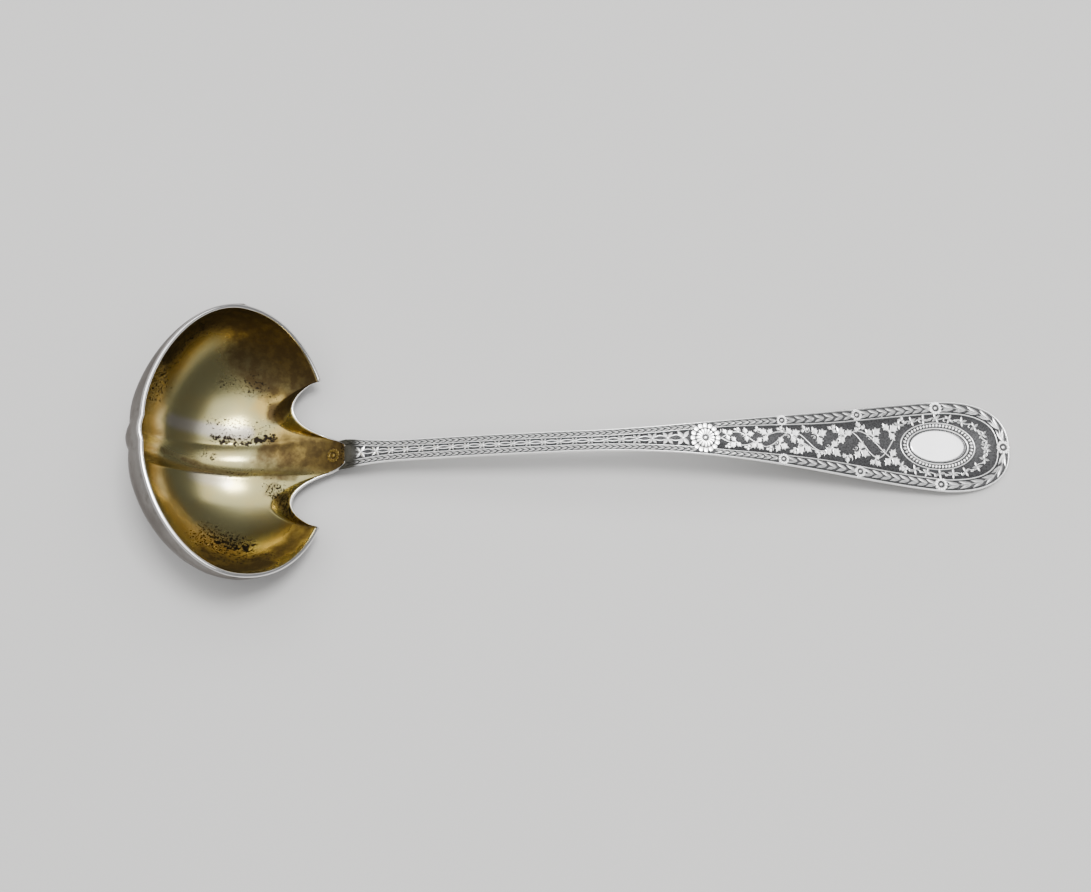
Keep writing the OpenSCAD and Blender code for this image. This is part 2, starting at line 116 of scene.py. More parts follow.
FRONT_A = 180 - LIP_FRONT_A
BACK_A = 360 - LIP_BACK_A
NECK_A = BACK_A + 8
HALF_W = BOWL_W / 2 - LIP_T
HUB_Z = FLOOR_R + WALL_T
NOTCH_IN = NOTCH_Y - NOTCH_W / 2
NOTCH_OUT = NOTCH_Y + NOTCH_W / 2
END_X = HANDLE_L - END_L
TIP_Z = END_T * EDGE_DEPTH
END_Z = TIP_Z + END_SLOPE * END_L
OVAL_X = HANDLE_L - OVAL_GAP


def sin(a):
    return math.sin(math.radians(a))


def cos(a):
    return math.cos(math.radians(a))


def mix(a, b, t):
    return a + (b - a) * t


def unit(t):
    return max(0.0, min(1.0, t))


def smooth(t):
    u = unit(t)
    return u * u * (3 - 2 * u)


def hermite(a, b, ta, tb, t):
    return (a * (1 + 2 * t) * (1 - t) ** 2 + ta * t * (1 - t) ** 2
            + b * t * t * (3 - 2 * t) - tb * t * t * (1 - t))


# The bowl's face: each point has an angle round the hub and a distance from the middle plane
def swell(a):
    if a < BELLY_A:
        return sin(90 * unit((a - FRONT_A) / (BELLY_A - FRONT_A)))
    return cos(90 * (a - BELLY_A) / (270 - BELLY_A)) ** 2


def reach(a):
    if a < 270:
        return mix(mix(FRONT_R, FLOOR_R, smooth((a - 180) / 90)), BELLY_R, swell(a))
    return FLOOR_R + (BACK_R - FLOOR_R) * ((a - 270) / (BACK_A - 270)) ** 2


FRONT_L = max(-(reach(a) + WALL_T) * cos(a) for a in range(int(FRONT_A), int(BELLY_A) + 20))
SHIFT_X = (FRONT_L - HANDLE_L) / 2


def across(y, a):
    p = mix(FRONT_POWER, BACK_POWER, smooth((a - 180) / 90))
    return max(0.0, 1 - min(1.0, abs(y) / HALF_W) ** p) ** (1 / p)


def flute_half(a):
    if a < 270:
        return mix(FLUTE_FRONT_W, FLUTE_FLOOR_W, smooth((a - FRONT_A) / (270 - FRONT_A))) / 2
    return mix(FLUTE_FLOOR_W / 2, NOTCH_IN, smooth((a - 270) / (BACK_A - 270)))


def crease(y, a):
    d = abs(y) - flute_half(a)
    w = flute_half(a) if d < 0 else CREASE_W
    fade = smooth((NECK_A - a) / 30) * mix(LIP_CREASE, 1, smooth((a - FRONT_A) / 50))
    d = math.hypot(d, CREASE_ROUND) - CREASE_ROUND * 0.6
    return CREASE_H * fade * max(0.0, 1 - d / w) ** 2


def notch_dip(y):
    u = (abs(y) - NOTCH_Y) * 2 / NOTCH_W
    return cos(90 * u) ** 0.8 if abs(u) < 1 else 0.0


def back_a(y):
    if abs(y) < NOTCH_IN:
        return mix(NECK_A, BACK_A, (abs(y) / NOTCH_IN) ** 8)
    return BACK_A - NOTCH_A * notch_dip(y)


def press(y, a):
    side = notch_dip(y) ** 0.6
    t = (back_a(y) - a) / (NOTCH_WALL_A * max(0.05, side))
    return NOTCH_RISE * side * max(0.0, 1 - t) ** 1.15


def neck_pinch(y, a):
    return (smooth((a - BACK_A + 6) / (NECK_A - BACK_A + 6))
            * smooth((NOTCH_IN * 1.5 - abs(y)) / (NOTCH_IN * 0.5)))


def rim_sag(x, z):
    bend = (math.tan(math.radians(LIP_BACK_A)) - math.tan(math.radians(LIP_FRONT_A))) / 2
    return bend * (math.hypot(x, SAG_L) - abs(x)) * smooth(1 + z / SAG_H)


def bowl_point(y, a, depth):
    s = (reach(a) - crease(y, a) - press(y, a)) * across(y, a)
    pinched = y * mix(1, (NECK_W / 2 - SEAT) / NOTCH_IN, neck_pinch(y, a))
    p = Vector((s * cos(a), pinched, s * sin(a)))
    n = Vector((p.x / reach(a) ** 2, p.y / HALF_W ** 2, p.z / reach(a) ** 2)).normalized()
    return Vector((0, 0, HUB_Z - rim_sag(p.x, p.z))) + p + n * depth


def spread(y, t):
    f = flute_half(mix(FRONT_A, BACK_A, t))
    d = abs(y)
    if d < NOTCH_IN:
        d = d * f / NOTCH_IN
    elif d < NOTCH_OUT:
        d = mix(f, NOTCH_OUT, (d - NOTCH_IN) / NOTCH_W)
    return math.copysign(d, y)


# The handle: the top face follows a spine, and the outline is drawn in plan
def trace(line, axis):
    """A function of X that follows a line's points, which go towards the broad end."""
    xs = [p.x for p in line]
    values = [p[axis] for p in line]
    return lambda x: float(np.interp(x, xs, values))


neck_floor = [bowl_point(0, a, 0) for a in np.linspace(285, NECK_A, 60)]
floor_z = trace(neck_floor, 2)
NECK_X = neck_floor[-1].x
NECK_Z = neck_floor[-1].z
TONGUE_DIP = 0.12
TONGUE_FADE = 0.3
# The spine's stations: X, height and slope
SPINE = [(NECK_X, NECK_Z + TONGUE_DIP * TONGUE_FADE, NECK_SLOPE), (STEM_X, STEM_Z, STEM_SLOPE),
         (PEAK_X, PEAK_Z, 0), (END_X, END_Z, -END_SLOPE)]


def spine_z(x):
    if x < NECK_X:
        return floor_z(x) + TONGUE_DIP * (TONGUE_FADE - (NECK_X - x))
    for (start, low, rise), (end, high, fall) in zip(SPINE, SPINE[1:]):
        if x < end:
            length = end - start
            return hermite(low, high, rise * length, fall * length, (x - start) / length)
    return TIP_Z + END_SLOPE * (HANDLE_L - x)


def spine_up(x):
    return Vector((spine_z(x - 0.3) - spine_z(x + 0.3), 0, 0.6)).normalized()


def thick(x):
    if x < NECK_X:
        return mix(NECK_T, ROOT_T, (NECK_X - x) / ROOT_L)
    if x < FLARE_X:
        return mix(NECK_T, STEM_T, smooth((x - NECK_X) / (STEM_X - NECK_X)))
    return mix(STEM_T, END_T, smooth((x - FLARE_X) / (END_X - FLARE_X)))


def flare(t):
    u = 1 - t
    x = (FLARE_X * u ** 3 + mix(FLARE_X, END_X, 0.41) * 3 * u * u * t
         + mix(FLARE_X, END_X, 0.79) * 3 * u * t * t + END_X * t ** 3)
    w = STEM_W * (u ** 3 + 3 * u * u * t) + END_W * 0.89 * 3 * u * t * t + END_W * t ** 3
    return Vector((x, w / 2))


def round_end(t):
    power = 2 / END_POWER
    return Vector((END_X + END_L * cos(90 * t) ** power, END_W / 2 * sin(90 * t) ** power))


def stem(x):
    return Vector((x, mix(STEM_W, NECK_W, unit((STEM_X - x) / (STEM_X - NECK_X)) ** 1.6) / 2))


TIP_STATIONS = 64
FLARE_STATIONS = 170
STEM_STATIONS = 80
NECK_STATIONS = 44
half_line = ([round_end(i / TIP_STATIONS) for i in range(TIP_STATIONS)]
             + [flare(1 - i / FLARE_STATIONS) for i in range(FLARE_STATIONS)]
             + [stem(mix(FLARE_X, STEM_X, i / STEM_STATIONS)) for i in range(STEM_STATIONS)]
             + [stem(mix(STEM_X, NECK_X - ROOT_L, i / NECK_STATIONS)) for i in range(NECK_STATIONS + 1)])


def inward(k):
    """Unit vector in plan, square to the outline at a station, towards the inside."""
    before = half_line[k - 1] if k else Vector((half_line[1].x, -half_line[1].y))
    d = (half_line[min(k + 1, len(half_line) - 1)] - before).normalized()
    n = Vector((d.y, -d.x))
    middle = Vector((min(half_line[k].x, END_X), 0))
    return n if n.dot(middle - half_line[k]) > 0 else -n


inwards = [inward(k) for k in range(len(half_line))]
outline_y = trace(half_line[::-1], 1)


def inset_line(depth):
    """The outline moved inwards by a depth that depends on X, from the neck to the tip."""
    moved = [o + n * depth(o.x) for o, n in zip(half_line[::-1], inwards[::-1])]
    return [Vector((q.x, max(0.0, q.y))) for q in moved]


def broad(x):
    """0 on the stem, 1 on the broad end."""
    return smooth((x - ROSETTE_X) / 30)


def edge_w(x):
    return mix(STEM_EDGE_W, END_EDGE_W, broad(x))


def band_w(x):
    return mix(STEM_BAND_W, END_BAND_W, broad(x))


def line_w(x):
    return mix(0.22, LINE_W, broad(x))


def relief(x):
    return smooth((x - NECK_X) / 3)


def ground_z(x):
    return spine_z(x) - SINK * relief(x)


def on_ground(x, y, lift=0.0):
    return Vector((x, y, ground_z(x) + lift))


UNDER_STEPS = 12
UNDER_POWER = 0.67
UNDER_WEAR = 0.8
EDGE_DROP = 0.3
# Rows over the edge and over the inner line: share of its width, depth or height, wear
EDGE_TOP = [(0, EDGE_DROP, 0.9), (0.05, 0.14, 1), (0.2, 0.04, 1), (0.45, 0, 1), (0.7, 0.04, 1),
            (0.9, 0.14, 1)]
LINE_TOP = [(0.1, 0.6, 0.5), (0.25, 0.2, 0.9), (0.5, 0.05, 1), (0.75, 0.2, 0.9), (0.9, 0.6, 0.5)]


def section(x):
    """Profile at one station: (inset, share of the way to the spine, depth, wear)."""
    r = relief(x)
    rows = []
    for i in range(UNDER_STEPS):
        a = 90 * (1 - i / UNDER_STEPS)
        depth = EDGE_DROP + (thick(x) - EDGE_DROP) * sin(a) ** UNDER_POWER
        rows.append((0, 1 - cos(a) ** UNDER_POWER, depth, UNDER_WEAR))
    w = edge_w(x)
    for inset, depth, wear in EDGE_TOP:
        rows.append((inset * w, 0, depth if inset < 0.4 else depth * r, wear))
    rows.append((w + 0.03, 0, SINK * r, 0))
    for share in (0.33, 0.67, 1):
        rows.append((w + band_w(x) * share, 0, SINK * r, 0))
    start = w + band_w(x)
    for inset, depth, wear in LINE_TOP:
        rows.append((start + inset * line_w(x), 0, mix(0, SINK * depth, r), wear * r))
    rows.append((start + line_w(x) + 0.02, 0, SINK * r, 0))
    return rows


def field(x):
    """Half the width of the field between the two inner lines."""
    return max(0.1, outline_y(x) - edge_w(x) - band_w(x) - line_w(x))


# Making meshes
def make_mesh(name, points, faces, edges=()):
    """A mesh from points in millimetres, moved to the frame's origin."""
    placed = [((x + SHIFT_X) * MM, y * MM, z * MM) for x, y, z in points]
    mesh = bpy.data.meshes.new(name)
    mesh.from_pydata(placed, edges, faces, shade_flat=False)
    return mesh


def own_x(v):
    """A vertex's X as the shapes count it."""
    return v.co.x / MM - SHIFT_X


def tidy_mesh(mesh, merge=True):
    """Turns the faces outwards, and merges points that lie on one another."""
    work = bmesh.new()
    work.from_mesh(mesh)
    if merge:
        bmesh.ops.remove_doubles(work, verts=work.verts, dist=2e-7)
        bmesh.ops.dissolve_degenerate(work, edges=work.edges, dist=1e-8)
    bmesh.ops.recalc_face_normals(work, faces=work.faces)
    work.to_mesh(mesh)
    work.free()
    return mesh


def joined(parts):
    """The points and the faces of several parts as one."""
    points, faces = [], []
    for part_points, part_faces in parts:
        faces += [[i + len(points) for i in f] for f in part_faces]
        points += part_points
    return points, faces


def ring_faces(rings, count, closed=False):
    """Faces between rings of points, each ring joined to the next."""
    faces = []
    for j in range(rings if closed else rings - 1):
        start, after = j * count, (j + 1) % rings * count
        for i in range(count):
            k = (i + 1) % count
            faces.append([start + i, start + k, after + k, after + i])
    return faces


def loft(rings, peak=None):
    """Rings joined upwards, with a floor, and a lid that is flat or rises to a peak."""
    count = len(rings[0])
    points = [p for ring in rings for p in ring]
    top = len(points) - count
    faces = ring_faces(len(rings), count) + [list(range(count))[::-1]]
    if peak:
        faces += [[top + i, top + (i + 1) % count, len(points)] for i in range(count)]
        return points + [peak], faces
    return points, faces + [list(range(top, len(points)))]


def linked(name, data):
    obj = bpy.data.objects.new(name, data)
    bpy.context.scene.collection.objects.link(obj)
    return obj


def place(mesh, name, material):
    """A piece that is seen. It rides on the only body and takes the solid's place."""
    obj = linked(name, mesh)
    if not mesh.materials:
        mesh.materials.append(material)
    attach(obj, "root")
    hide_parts("ladle")


def set_mark(mesh, name, values):
    layer = mesh.attributes.new(name, "FLOAT", "POINT")
    layer.data.foreach_set("value", np.asarray(values, np.float32))


GRIME_X = NECK_X + 0.8
GRIME_L = 3.0
GRIMY = 0.15


def set_wear(mesh, wear, xs):
    """How bright the rubbing left each point. Past the neck the carving comes out of dark tarnish."""
    clean = [smooth((x - GRIME_X) / GRIME_L) for x in xs]
    set_mark(mesh, "wear", [w * mix(GRIMY, 1, c) for w, c in zip(wear, clean)])
    set_mark(mesh, "neck_dirt", [1 - c for c in clean])


def wear_by_height(mesh, low=0.1, high=0.34, most=1.0):
    """High spots are rubbed bright, and what lies near the ground stays dark."""
    xs = [own_x(v) for v in mesh.vertices]
    rises = [v.co.z / MM - ground_z(x) for v, x in zip(mesh.vertices, xs)]
    set_wear(mesh, [smooth((rise - low) / (high - low)) * most for rise in rises], xs)


# Node trees
class Tree:
    """Places nodes in a tree and joins them."""

    def __init__(self, tree):
        self.tree = tree

    def node(self, kind, *links, **settings):
        node = self.tree.nodes.new(kind)
        for key, value in settings.items():
            setattr(node, key, value)
        for name, source in links:
            socket = node.inputs[name]
            if isinstance(source, bpy.types.NodeSocket):
                self.tree.links.new(source, socket)
            else:
                socket.default_value = source
        return node

    def add(self, kind, *links, **settings):
        """Makes a node and returns its first output."""
        return self.node(kind, *links, **settings).outputs[0]

    def math(self, operation, *values, clamp=False):
        return self.add("ShaderNodeMath", *enumerate(values), operation=operation, use_clamp=clamp)

    def times(self, a, b, clamp=False):
        return self.math("MULTIPLY", a, b, clamp=clamp)

    def kept(self, name):
        """A vector that the mesh keeps at each point."""
        return self.add("GeometryNodeInputNamedAttribute", ("Name", name), data_type="FLOAT_VECTOR")

    def shape(self, obj):
        return self.node("GeometryNodeObjectInfo", ("Object", obj)).outputs["Geometry"]

    def on_object(self):
        return self.node("ShaderNodeTexCoord").outputs["Object"]

    def noise(self, scale, detail, roughness):
        return self.add("ShaderNodeTexNoise", ("Vector", self.on_object()), ("Scale", scale),
                        ("Detail", detail), ("Roughness", roughness))

    def step(self, value, low, high, kind="SMOOTHSTEP"):
        """0 below the low value, 1 above the high one."""
        return self.add("ShaderNodeMapRange", ("Value", value), ("From Min", low), ("From Max", high),
                        interpolation_type=kind)

    def soft_step(self, value, level, soft):
        return self.step(value, self.math("SUBTRACT", level, soft), self.math("ADD", level, soft))

    def end(self, label, source):
        self.node("NodeGroupOutput", (label, source))
        return self.tree


def node_group(kind, name, output, inputs):
    """A group with one output. Each input is a type of socket, or a number that it holds at first."""
    tree = bpy.data.node_groups.new(name, kind)

    def socket(label, way, value):
        return tree.interface.new_socket(label, in_out=way, socket_type="NodeSocket" + value)

    for label, value in inputs.items():
        if isinstance(value, str):
            socket(label, "INPUT", value)
        else:
            socket(label, "INPUT", "Float").default_value = value
    socket(output, "OUTPUT", "Geometry" if output == "Geometry" else "Float")
    t = Tree(tree)
    return t, t.node("NodeGroupInput").outputs


def shape_tree(name, **inputs):
    return node_group("GeometryNodeTree", name, "Geometry", {"Geometry": "Geometry", **inputs})


def end_tree(t, shape, finish):
    real = t.add("GeometryNodeRealizeInstances", ("Geometry", shape))
    return t.end("Geometry", t.add("GeometryNodeSetMaterial", ("Geometry", real), ("Material", finish)))


def set_on(t, points, given):
    """Sets a shape at each point, in its size, with its Z up from the ground and its X along the path."""
    stand = t.add("FunctionNodeAlignRotationToVector", ("Vector", t.kept("up")), axis="Z")
    facing = t.add("FunctionNodeAlignRotationToVector", ("Rotation", stand), ("Vector", t.kept("along")),
                   axis="X", pivot_axis="Z")
    spots = t.add("GeometryNodeInstanceOnPoints", ("Points", points), ("Rotation", facing),
                  ("Instance", t.shape(given["Shape"])), ("Scale", t.kept("size")))
    return end_tree(t, spots, given["Finish"])


def row_tree():
    """Sets one shape again and again along a path, a pitch apart."""
    t, given = shape_tree("row along a path", Shape="Object", Pitch="Float", Finish="Material")
    path = t.add("GeometryNodeMeshToCurve", ("Mesh", given["Geometry"]))
    even = t.add("GeometryNodeResampleCurve", ("Curve", path), ("Length", given["Pitch"]), mode="LENGTH")
    return set_on(t, even, given)


def spot_tree():
    """Sets one shape at each given point."""
    t, given = shape_tree("shape at each point", Shape="Object", Finish="Material")
    return set_on(t, given["Geometry"], given)


def vine_tree():
    """A round stalk along each path, as thick as the points say."""
    t, given = shape_tree("stalk along a path", Width="Float", Sides="Int", Finish="Material")
    path = t.add("GeometryNodeMeshToCurve", ("Mesh", given["Geometry"]))
    share = t.add("ShaderNodeSeparateXYZ", ("Vector", t.kept("size")))
    half = t.times(given["Width"], 0.5)
    ring = t.add("GeometryNodeCurvePrimitiveCircle", ("Resolution", given["Sides"]), ("Radius", half))
    stalk = t.add("GeometryNodeCurveToMesh", ("Curve", path), ("Profile Curve", ring), ("Scale", share),
                  ("Fill Caps", True))
    return end_tree(t, stalk, given["Finish"])


def wheel_tree():
    """Sets a petal round a centre, a number of times."""
    t, given = shape_tree("wheel of petals", Petal="Object", Count="Int", Finish="Material")
    points = t.add("GeometryNodePoints", ("Count", given["Count"]))
    share = t.math("DIVIDE", t.add("GeometryNodeInputIndex"), given["Count"])
    rotation = t.add("ShaderNodeCombineXYZ", ("Z", t.times(share, math.tau)))
    petals = t.add("GeometryNodeInstanceOnPoints", ("Points", points), ("Rotation", rotation),
                   ("Instance", t.shape(given["Petal"])))
    both = t.add("GeometryNodeJoinGeometry", ("Geometry", petals), ("Geometry", given["Geometry"]))
    return end_tree(t, both, given["Finish"])


def grow(kind, base, name, **values):
    """Runs a geometry tree on a mesh and returns the result as a plain mesh."""
    obj = linked(name + "_base", base)
    modifier = obj.modifiers.new("grow", "NODES")
    modifier.node_group = trees[kind]
    for item in trees[kind].interface.items_tree:
        if item.in_out == "INPUT" and item.name in values:
            modifier[item.identifier] = values[item.name]
    bpy.context.view_layer.update()
    shown = obj.evaluated_get(bpy.context.evaluated_depsgraph_get())
    mesh = bpy.data.meshes.new_from_object(shown)
    mesh.name = name
    bpy.data.objects.remove(obj)
    return mesh


def carve(kind, base, name, low=0.1, high=0.34, **values):
    """Carving that grows from a base, worn bright between two heights above the ground."""
    mesh = grow(kind, base, name, Finish=CARVED, **values)
    wear_by_height(mesh, low, high)
    place(mesh, name, CARVED)


helpers = []


def helper(mesh):
    """A shape that only the trees use. It is removed before the end."""
    obj = linked(mesh.name, mesh)
    helpers.append(obj)
    return obj


def path_mesh(lines, closed=False):
    """Paths as edges, with the way up, the way along and the size kept at each point.

    Each line is a list of (point, size), in millimetres, on the carved ground.
    """
    points, edges, alongs, sizes = [], [], [], []
    for line in lines:
        n = len(line)
        for i, (p, size) in enumerate(line):
            a = line[(i - 1) % n if closed else max(0, i - 1)][0]
            b = line[(i + 1) % n if closed else min(n - 1, i + 1)][0]
            if i < n - 1 or closed:
                edges.append((len(points), len(points) + 1 if i < n - 1 else len(points) + 1 - n))
            points.append(p)
            alongs.append((b - a).normalized() if n > 1 else Vector((1, 0, 0)))
            sizes.append(size)
    return attributed(points, edges, alongs, sizes)


def spots_mesh(spots):
    """Points with a heading and a size in plan: each spot is (x, y, heading, size)."""
    points = [on_ground(x, y, -FOOT) for x, y, a, s in spots]
    alongs = [Vector((cos(a), sin(a), 0)) for x, y, a, s in spots]
    return attributed(points, [], alongs, [(s, s, 1) for x, y, a, s in spots])


def attributed(points, edges, alongs, sizes, up=spine_up):
    """Points that keep the way up, the way along and the size of what stands on them."""
    mesh = make_mesh("paths", points, [], edges)
    for name, values in (("up", [up(p.x) for p in points]), ("along", alongs), ("size", sizes)):
        layer = mesh.attributes.new(name, "FLOAT_VECTOR", "POINT")
        layer.data.foreach_set("vector", np.asarray([tuple(v) for v in values], np.float32).ravel())
    return mesh


def small_mesh(name, parts):
    """Parts in millimetres, each its points and faces, round their own origin."""
    points, faces = joined(parts)
    mesh = bpy.data.meshes.new(name)
    mesh.from_pydata([tuple(c * MM for c in p) for p in points], [], faces)
    return mesh


def small_shape(name, parts):
    return helper(tidy_mesh(small_mesh(name, parts), merge=False))


# Small carved shapes
LEAF_SHOULDER = 0.7
LEAF_TOP = SINK + FOOT + 0.06


def turned(x, y, a):
    return x * cos(a) - y * sin(a), x * sin(a) + y * cos(a)


def ridged_leaf(base, tip, width, height):
    """A pointed leaf with a rib, from its base to its tip in plan."""
    b, e = Vector(base), Vector(tip)
    n = Vector((-(e - b).y, (e - b).x)).normalized() * width / 2
    half = [(b, n * 0.35), (b.lerp(e, 0.3), n * 0.95), (b.lerp(e, 0.6), n * 0.9)]
    rim = [p + w for p, w in half] + [e] + [p - w for p, w in half[::-1]]
    count = len(rim)
    points = [(p.x, p.y, z) for z in (0, height * LEAF_SHOULDER) for p in rim]
    for share, rise in ((0.08, 0.9), (0.45, 1), (0.8, 0.88)):
        points.append((*b.lerp(e, share), height * rise))
    top = [[0, 1, 8, 7], [1, 2, 9, 8], [2, 3, 9], [3, 4, 9], [4, 5, 8, 9], [5, 6, 7, 8], [6, 0, 7]]
    faces = ring_faces(2, count) + [list(range(count))[::-1]]
    return points, faces + [[i + count for i in f] for f in top]


def dome(radii, height, sides, flat=0.55, turn=0.0):
    """A low dome on an oval foot."""
    rings = []
    for share, rise in ((1.0, 0.0), (0.98, 0.45), (0.8, 0.85), (flat * 0.7, 1.0)):
        angles = [360 * i / sides for i in range(sides)]
        plan = [turned(radii[0] * share * cos(a), radii[1] * share * sin(a), turn) for a in angles]
        rings.append([(x, y, height * rise) for x, y in plan])
    return loft(rings)


def arrow_leaves(spread, width):
    """Two leaves that meet at an apex towards the broad end, in pitches along and half bands across."""
    return [ridged_leaf((0.52, 0.02 * s), (-0.62, spread * s), width, LEAF_TOP) for s in (-1, 1)]


# Half the outline of an ivy leaf's lobe, along it and across it, for a lobe of length 1
LOBE = [(-0.08, 0.08), (0.14, 0.09), (0.36, 0.24), (0.50, 0.47), (0.62, 0.31), (0.84, 0.42), (0.87, 0.19)]
LOBE_TIP = 1.22
LOBE_MIDDLE = 0.5
SIDE_LOBE = 0.84
SIDE_LOBE_A = 92


def ivy_lobe(length, heading):
    """One toothed lobe, a little higher along its rib."""
    rim = LOBE + [(LOBE_TIP, 0)] + [(u, -w) for u, w in reversed(LOBE)]

    def point(u, w, draw, rise):
        x, y = turned(mix(LOBE_MIDDLE, u, draw) * length, w * draw * length, heading)
        return x, y, LEAF_TOP * rise

    rings = [[point(u, w, draw, rise) for u, w in rim] for draw, rise in ((1, 0), (0.97, 0.86), (0.75, 1))]
    return loft(rings, point(LOBE_MIDDLE, 0, 0, 0.97))


def ivy_shape():
    """An ivy leaf of three lobes. Its stalk joins at the back, on -X."""
    lobes = ((1.0, 0), (SIDE_LOBE, SIDE_LOBE_A), (SIDE_LOBE, -SIDE_LOBE_A))
    return small_shape("ivy_leaf", [ivy_lobe(length, heading) for length, heading in lobes])


def cross_leaf_shape():
    """Four small pointed leaves round a knot."""
    parts = [ridged_leaf((0.04 * cos(a), 0.04 * sin(a)), (cos(a), sin(a)), 0.42, LEAF_TOP)
             for a in (52, 128, 232, 308)]
    return small_shape("cross_leaf", parts + [dome((0.19, 0.19), LEAF_TOP, 6)])


def petal_part(inner, outer, half_angle, height, cup):
    """One petal of a rosette, rounded outside and a little hollow."""
    middle = mix(inner, outer, 0.5)
    half = [(inner, 0.8), (middle, 0.95), (mix(inner, outer, 0.82), 0.8), (outer, 0.35)]
    rim = [(r, -a) for r, a in half] + half[::-1]
    rings = []
    for rise, draw in ((0, 1.0), (0.7, 0.98), (1.0, 0.78)):
        drawn_in = [(mix(middle, r, draw), a * half_angle * draw) for r, a in rim]
        rings.append([(r * cos(a), r * sin(a), height * rise) for r, a in drawn_in])
    return loft(rings, (middle, 0, height * cup))


def wheel(name, petals, count, middle):
    """A rosette: petals round a middle part."""
    petal = small_shape(name + "_petal", petals)
    core = small_mesh(name, [middle])
    return helper(grow("wheel", core, name, Petal=petal, Count=count, Finish=CARVED))


# Finishes
def mask_tree(name, output="Mask", **inputs):
    return node_group("ShaderNodeTree", name, output, inputs)


def scratch_group():
    """Fine scratches from years of polishing, in two directions."""
    t, given = mask_tree("polishing scratches", "Height", Fineness=900.0)
    heights = []
    for turn in (0.35, -0.9):
        across = t.add("ShaderNodeMapping", ("Vector", t.on_object()), ("Rotation", (0.2, 0.3, turn)),
                       ("Scale", (1, 14, 14)))
        noise = t.add("ShaderNodeTexNoise", ("Vector", across), ("Scale", given["Fineness"]),
                      ("Detail", 2.0))
        heights.append(t.math("POWER", noise, 3.0))
    return t.end("Height", t.math("ADD", *heights))


def cloud_group():
    """Cloudy patches, as tarnish has, with a soft or a sharp edge."""
    t, given = mask_tree("tarnish clouds", Size=120.0, Level=0.5, Softness=0.1)
    noise = t.noise(given["Size"], 5.0, 0.62)
    return t.end("Mask", t.soft_step(noise, given["Level"], given["Softness"]))


def ragged_group():
    """A mark drawn on the mesh, with its edge broken up."""
    t, given = mask_tree("ragged mark", Mark=0.0, Ragged=0.8, Size=400.0, Soft=0.25)
    noise = t.math("SUBTRACT", t.noise(given["Size"], 5.0, 0.6), 0.5)
    inside = t.times(given["Mark"], 5.0, clamp=True)
    broken = t.times(t.times(noise, given["Ragged"]), inside)
    return t.end("Mask", t.soft_step(t.math("ADD", given["Mark"], broken), 0.5, given["Soft"]))


def fleck_group():
    """Small dark flecks where the gilding has been eaten."""
    t, given = mask_tree("dark flecks", Size=1500.0, Amount=0.5)
    level = t.math("SUBTRACT", 0.76, t.times(given["Amount"], 0.28))
    noise = t.noise(given["Size"], 3.0, 0.7)
    return t.end("Mask", t.step(noise, level, t.math("ADD", level, 0.05)))


groups = {"scratches": scratch_group(), "clouds": cloud_group(), "ragged": ragged_group(),
          "flecks": fleck_group()}


class Finish(Tree):
    """A material with one Principled shader."""

    def __init__(self, name, **sockets):
        self.material = bpy.data.materials.new(name)
        self.material.use_nodes = True
        super().__init__(self.material.node_tree)
        self.tree.nodes.clear()
        self.shader = self.node("ShaderNodeBsdfPrincipled")
        self.node("ShaderNodeOutputMaterial", ("Surface", self.shader.outputs[0]))
        for label, value in sockets.items():
            self.shader.inputs[label.replace("_", " ")].default_value = value

    def group(self, name, **values):
        return self.add("ShaderNodeGroup", *values.items(), node_tree=groups[name])

    def clouds(self, size, level, softness):
        return self.group("clouds", Size=size, Level=level, Softness=softness)

    def drawn(self, name):
        """A mark that the mesh carries as an attribute."""
        return self.node("ShaderNodeAttribute", attribute_name=name).outputs["Fac"]

    def blend(self, share, a, b):
        """Mixes two colours or two numbers."""
        colour = any(isinstance(c, tuple) or getattr(c, "type", "") == "RGBA" for c in (a, b))
        ends = [c + (1,) if isinstance(c, tuple) else c for c in (a, b)]
        links = [(0, share)] + list(zip((6, 7) if colour else (2, 3), ends))
        node = self.node("ShaderNodeMix", *links, data_type="RGBA" if colour else "FLOAT")
        return node.outputs[2 if colour else 0]

    def feed(self, label, source):
        self.tree.links.new(source, self.shader.inputs[label])

    def feed_bump(self, height, strength, distance):
        sockets = (("Height", height), ("Strength", strength), ("Distance", distance))
        self.feed("Normal", self.add("ShaderNodeBump", *sockets))


SILVER = (0.96, 0.96, 0.95)
TARNISH = (0.012, 0.012, 0.012)
BROWN = (0.055, 0.036, 0.016)
NECK_DIRT = (0.022, 0.02, 0.012)
BLACK = (0.014, 0.011, 0.008)
STIPPLE = (0.05, 0.05, 0.052)
DULL_SILVER = (0.74, 0.73, 0.71)
PALE_GILT = (0.26, 0.238, 0.115)
DEEP_GILT = (0.33, 0.235, 0.07)
# Painted highlight: the bright gold of a reflection, laid along the bowl's front wall
PAINTED_GOLD_HIGHLIGHT = (0.98, 0.76, 0.33)
# Painted sheen: a pale lilac highlight laid along the upper crease of the flute
PAINTED_SHEEN = (0.35, 0.33, 0.355)


def carved_silver():
    """Bright on the rubbed high spots, dark and stippled in the ground."""
    f = Finish("carved silver")
    rubbed = f.clouds(700.0, 0.5, 0.3)
    wear = f.math("SUBTRACT", f.drawn("wear"), f.times(rubbed, 0.12), clamp=True)
    bright = f.step(wear, 0.08, 0.92)
    stipple = f.add("ShaderNodeTexVoronoi", ("Vector", f.on_object()), ("Scale", 3000.0))
    ground = f.blend(f.step(stipple, 0.15, 0.65, "LINEAR"), TARNISH, STIPPLE)
    top = f.blend(f.times(f.clouds(260.0, 0.55, 0.18), 0.25), SILVER, DULL_SILVER)
    dirt = f.times(f.drawn("neck_dirt"), 0.85)
    f.feed("Base Color", f.blend(dirt, f.blend(bright, ground, top), NECK_DIRT))
    f.feed("Roughness", f.blend(bright, 0.6, 0.3))
    f.feed("Metallic", f.blend(bright, 0.4, 0.96))
    scratches = f.times(f.group("scratches", Fineness=1500.0), 0.2)
    f.feed_bump(f.blend(bright, stipple, scratches), 0.5, 0.00005)
    return f.material


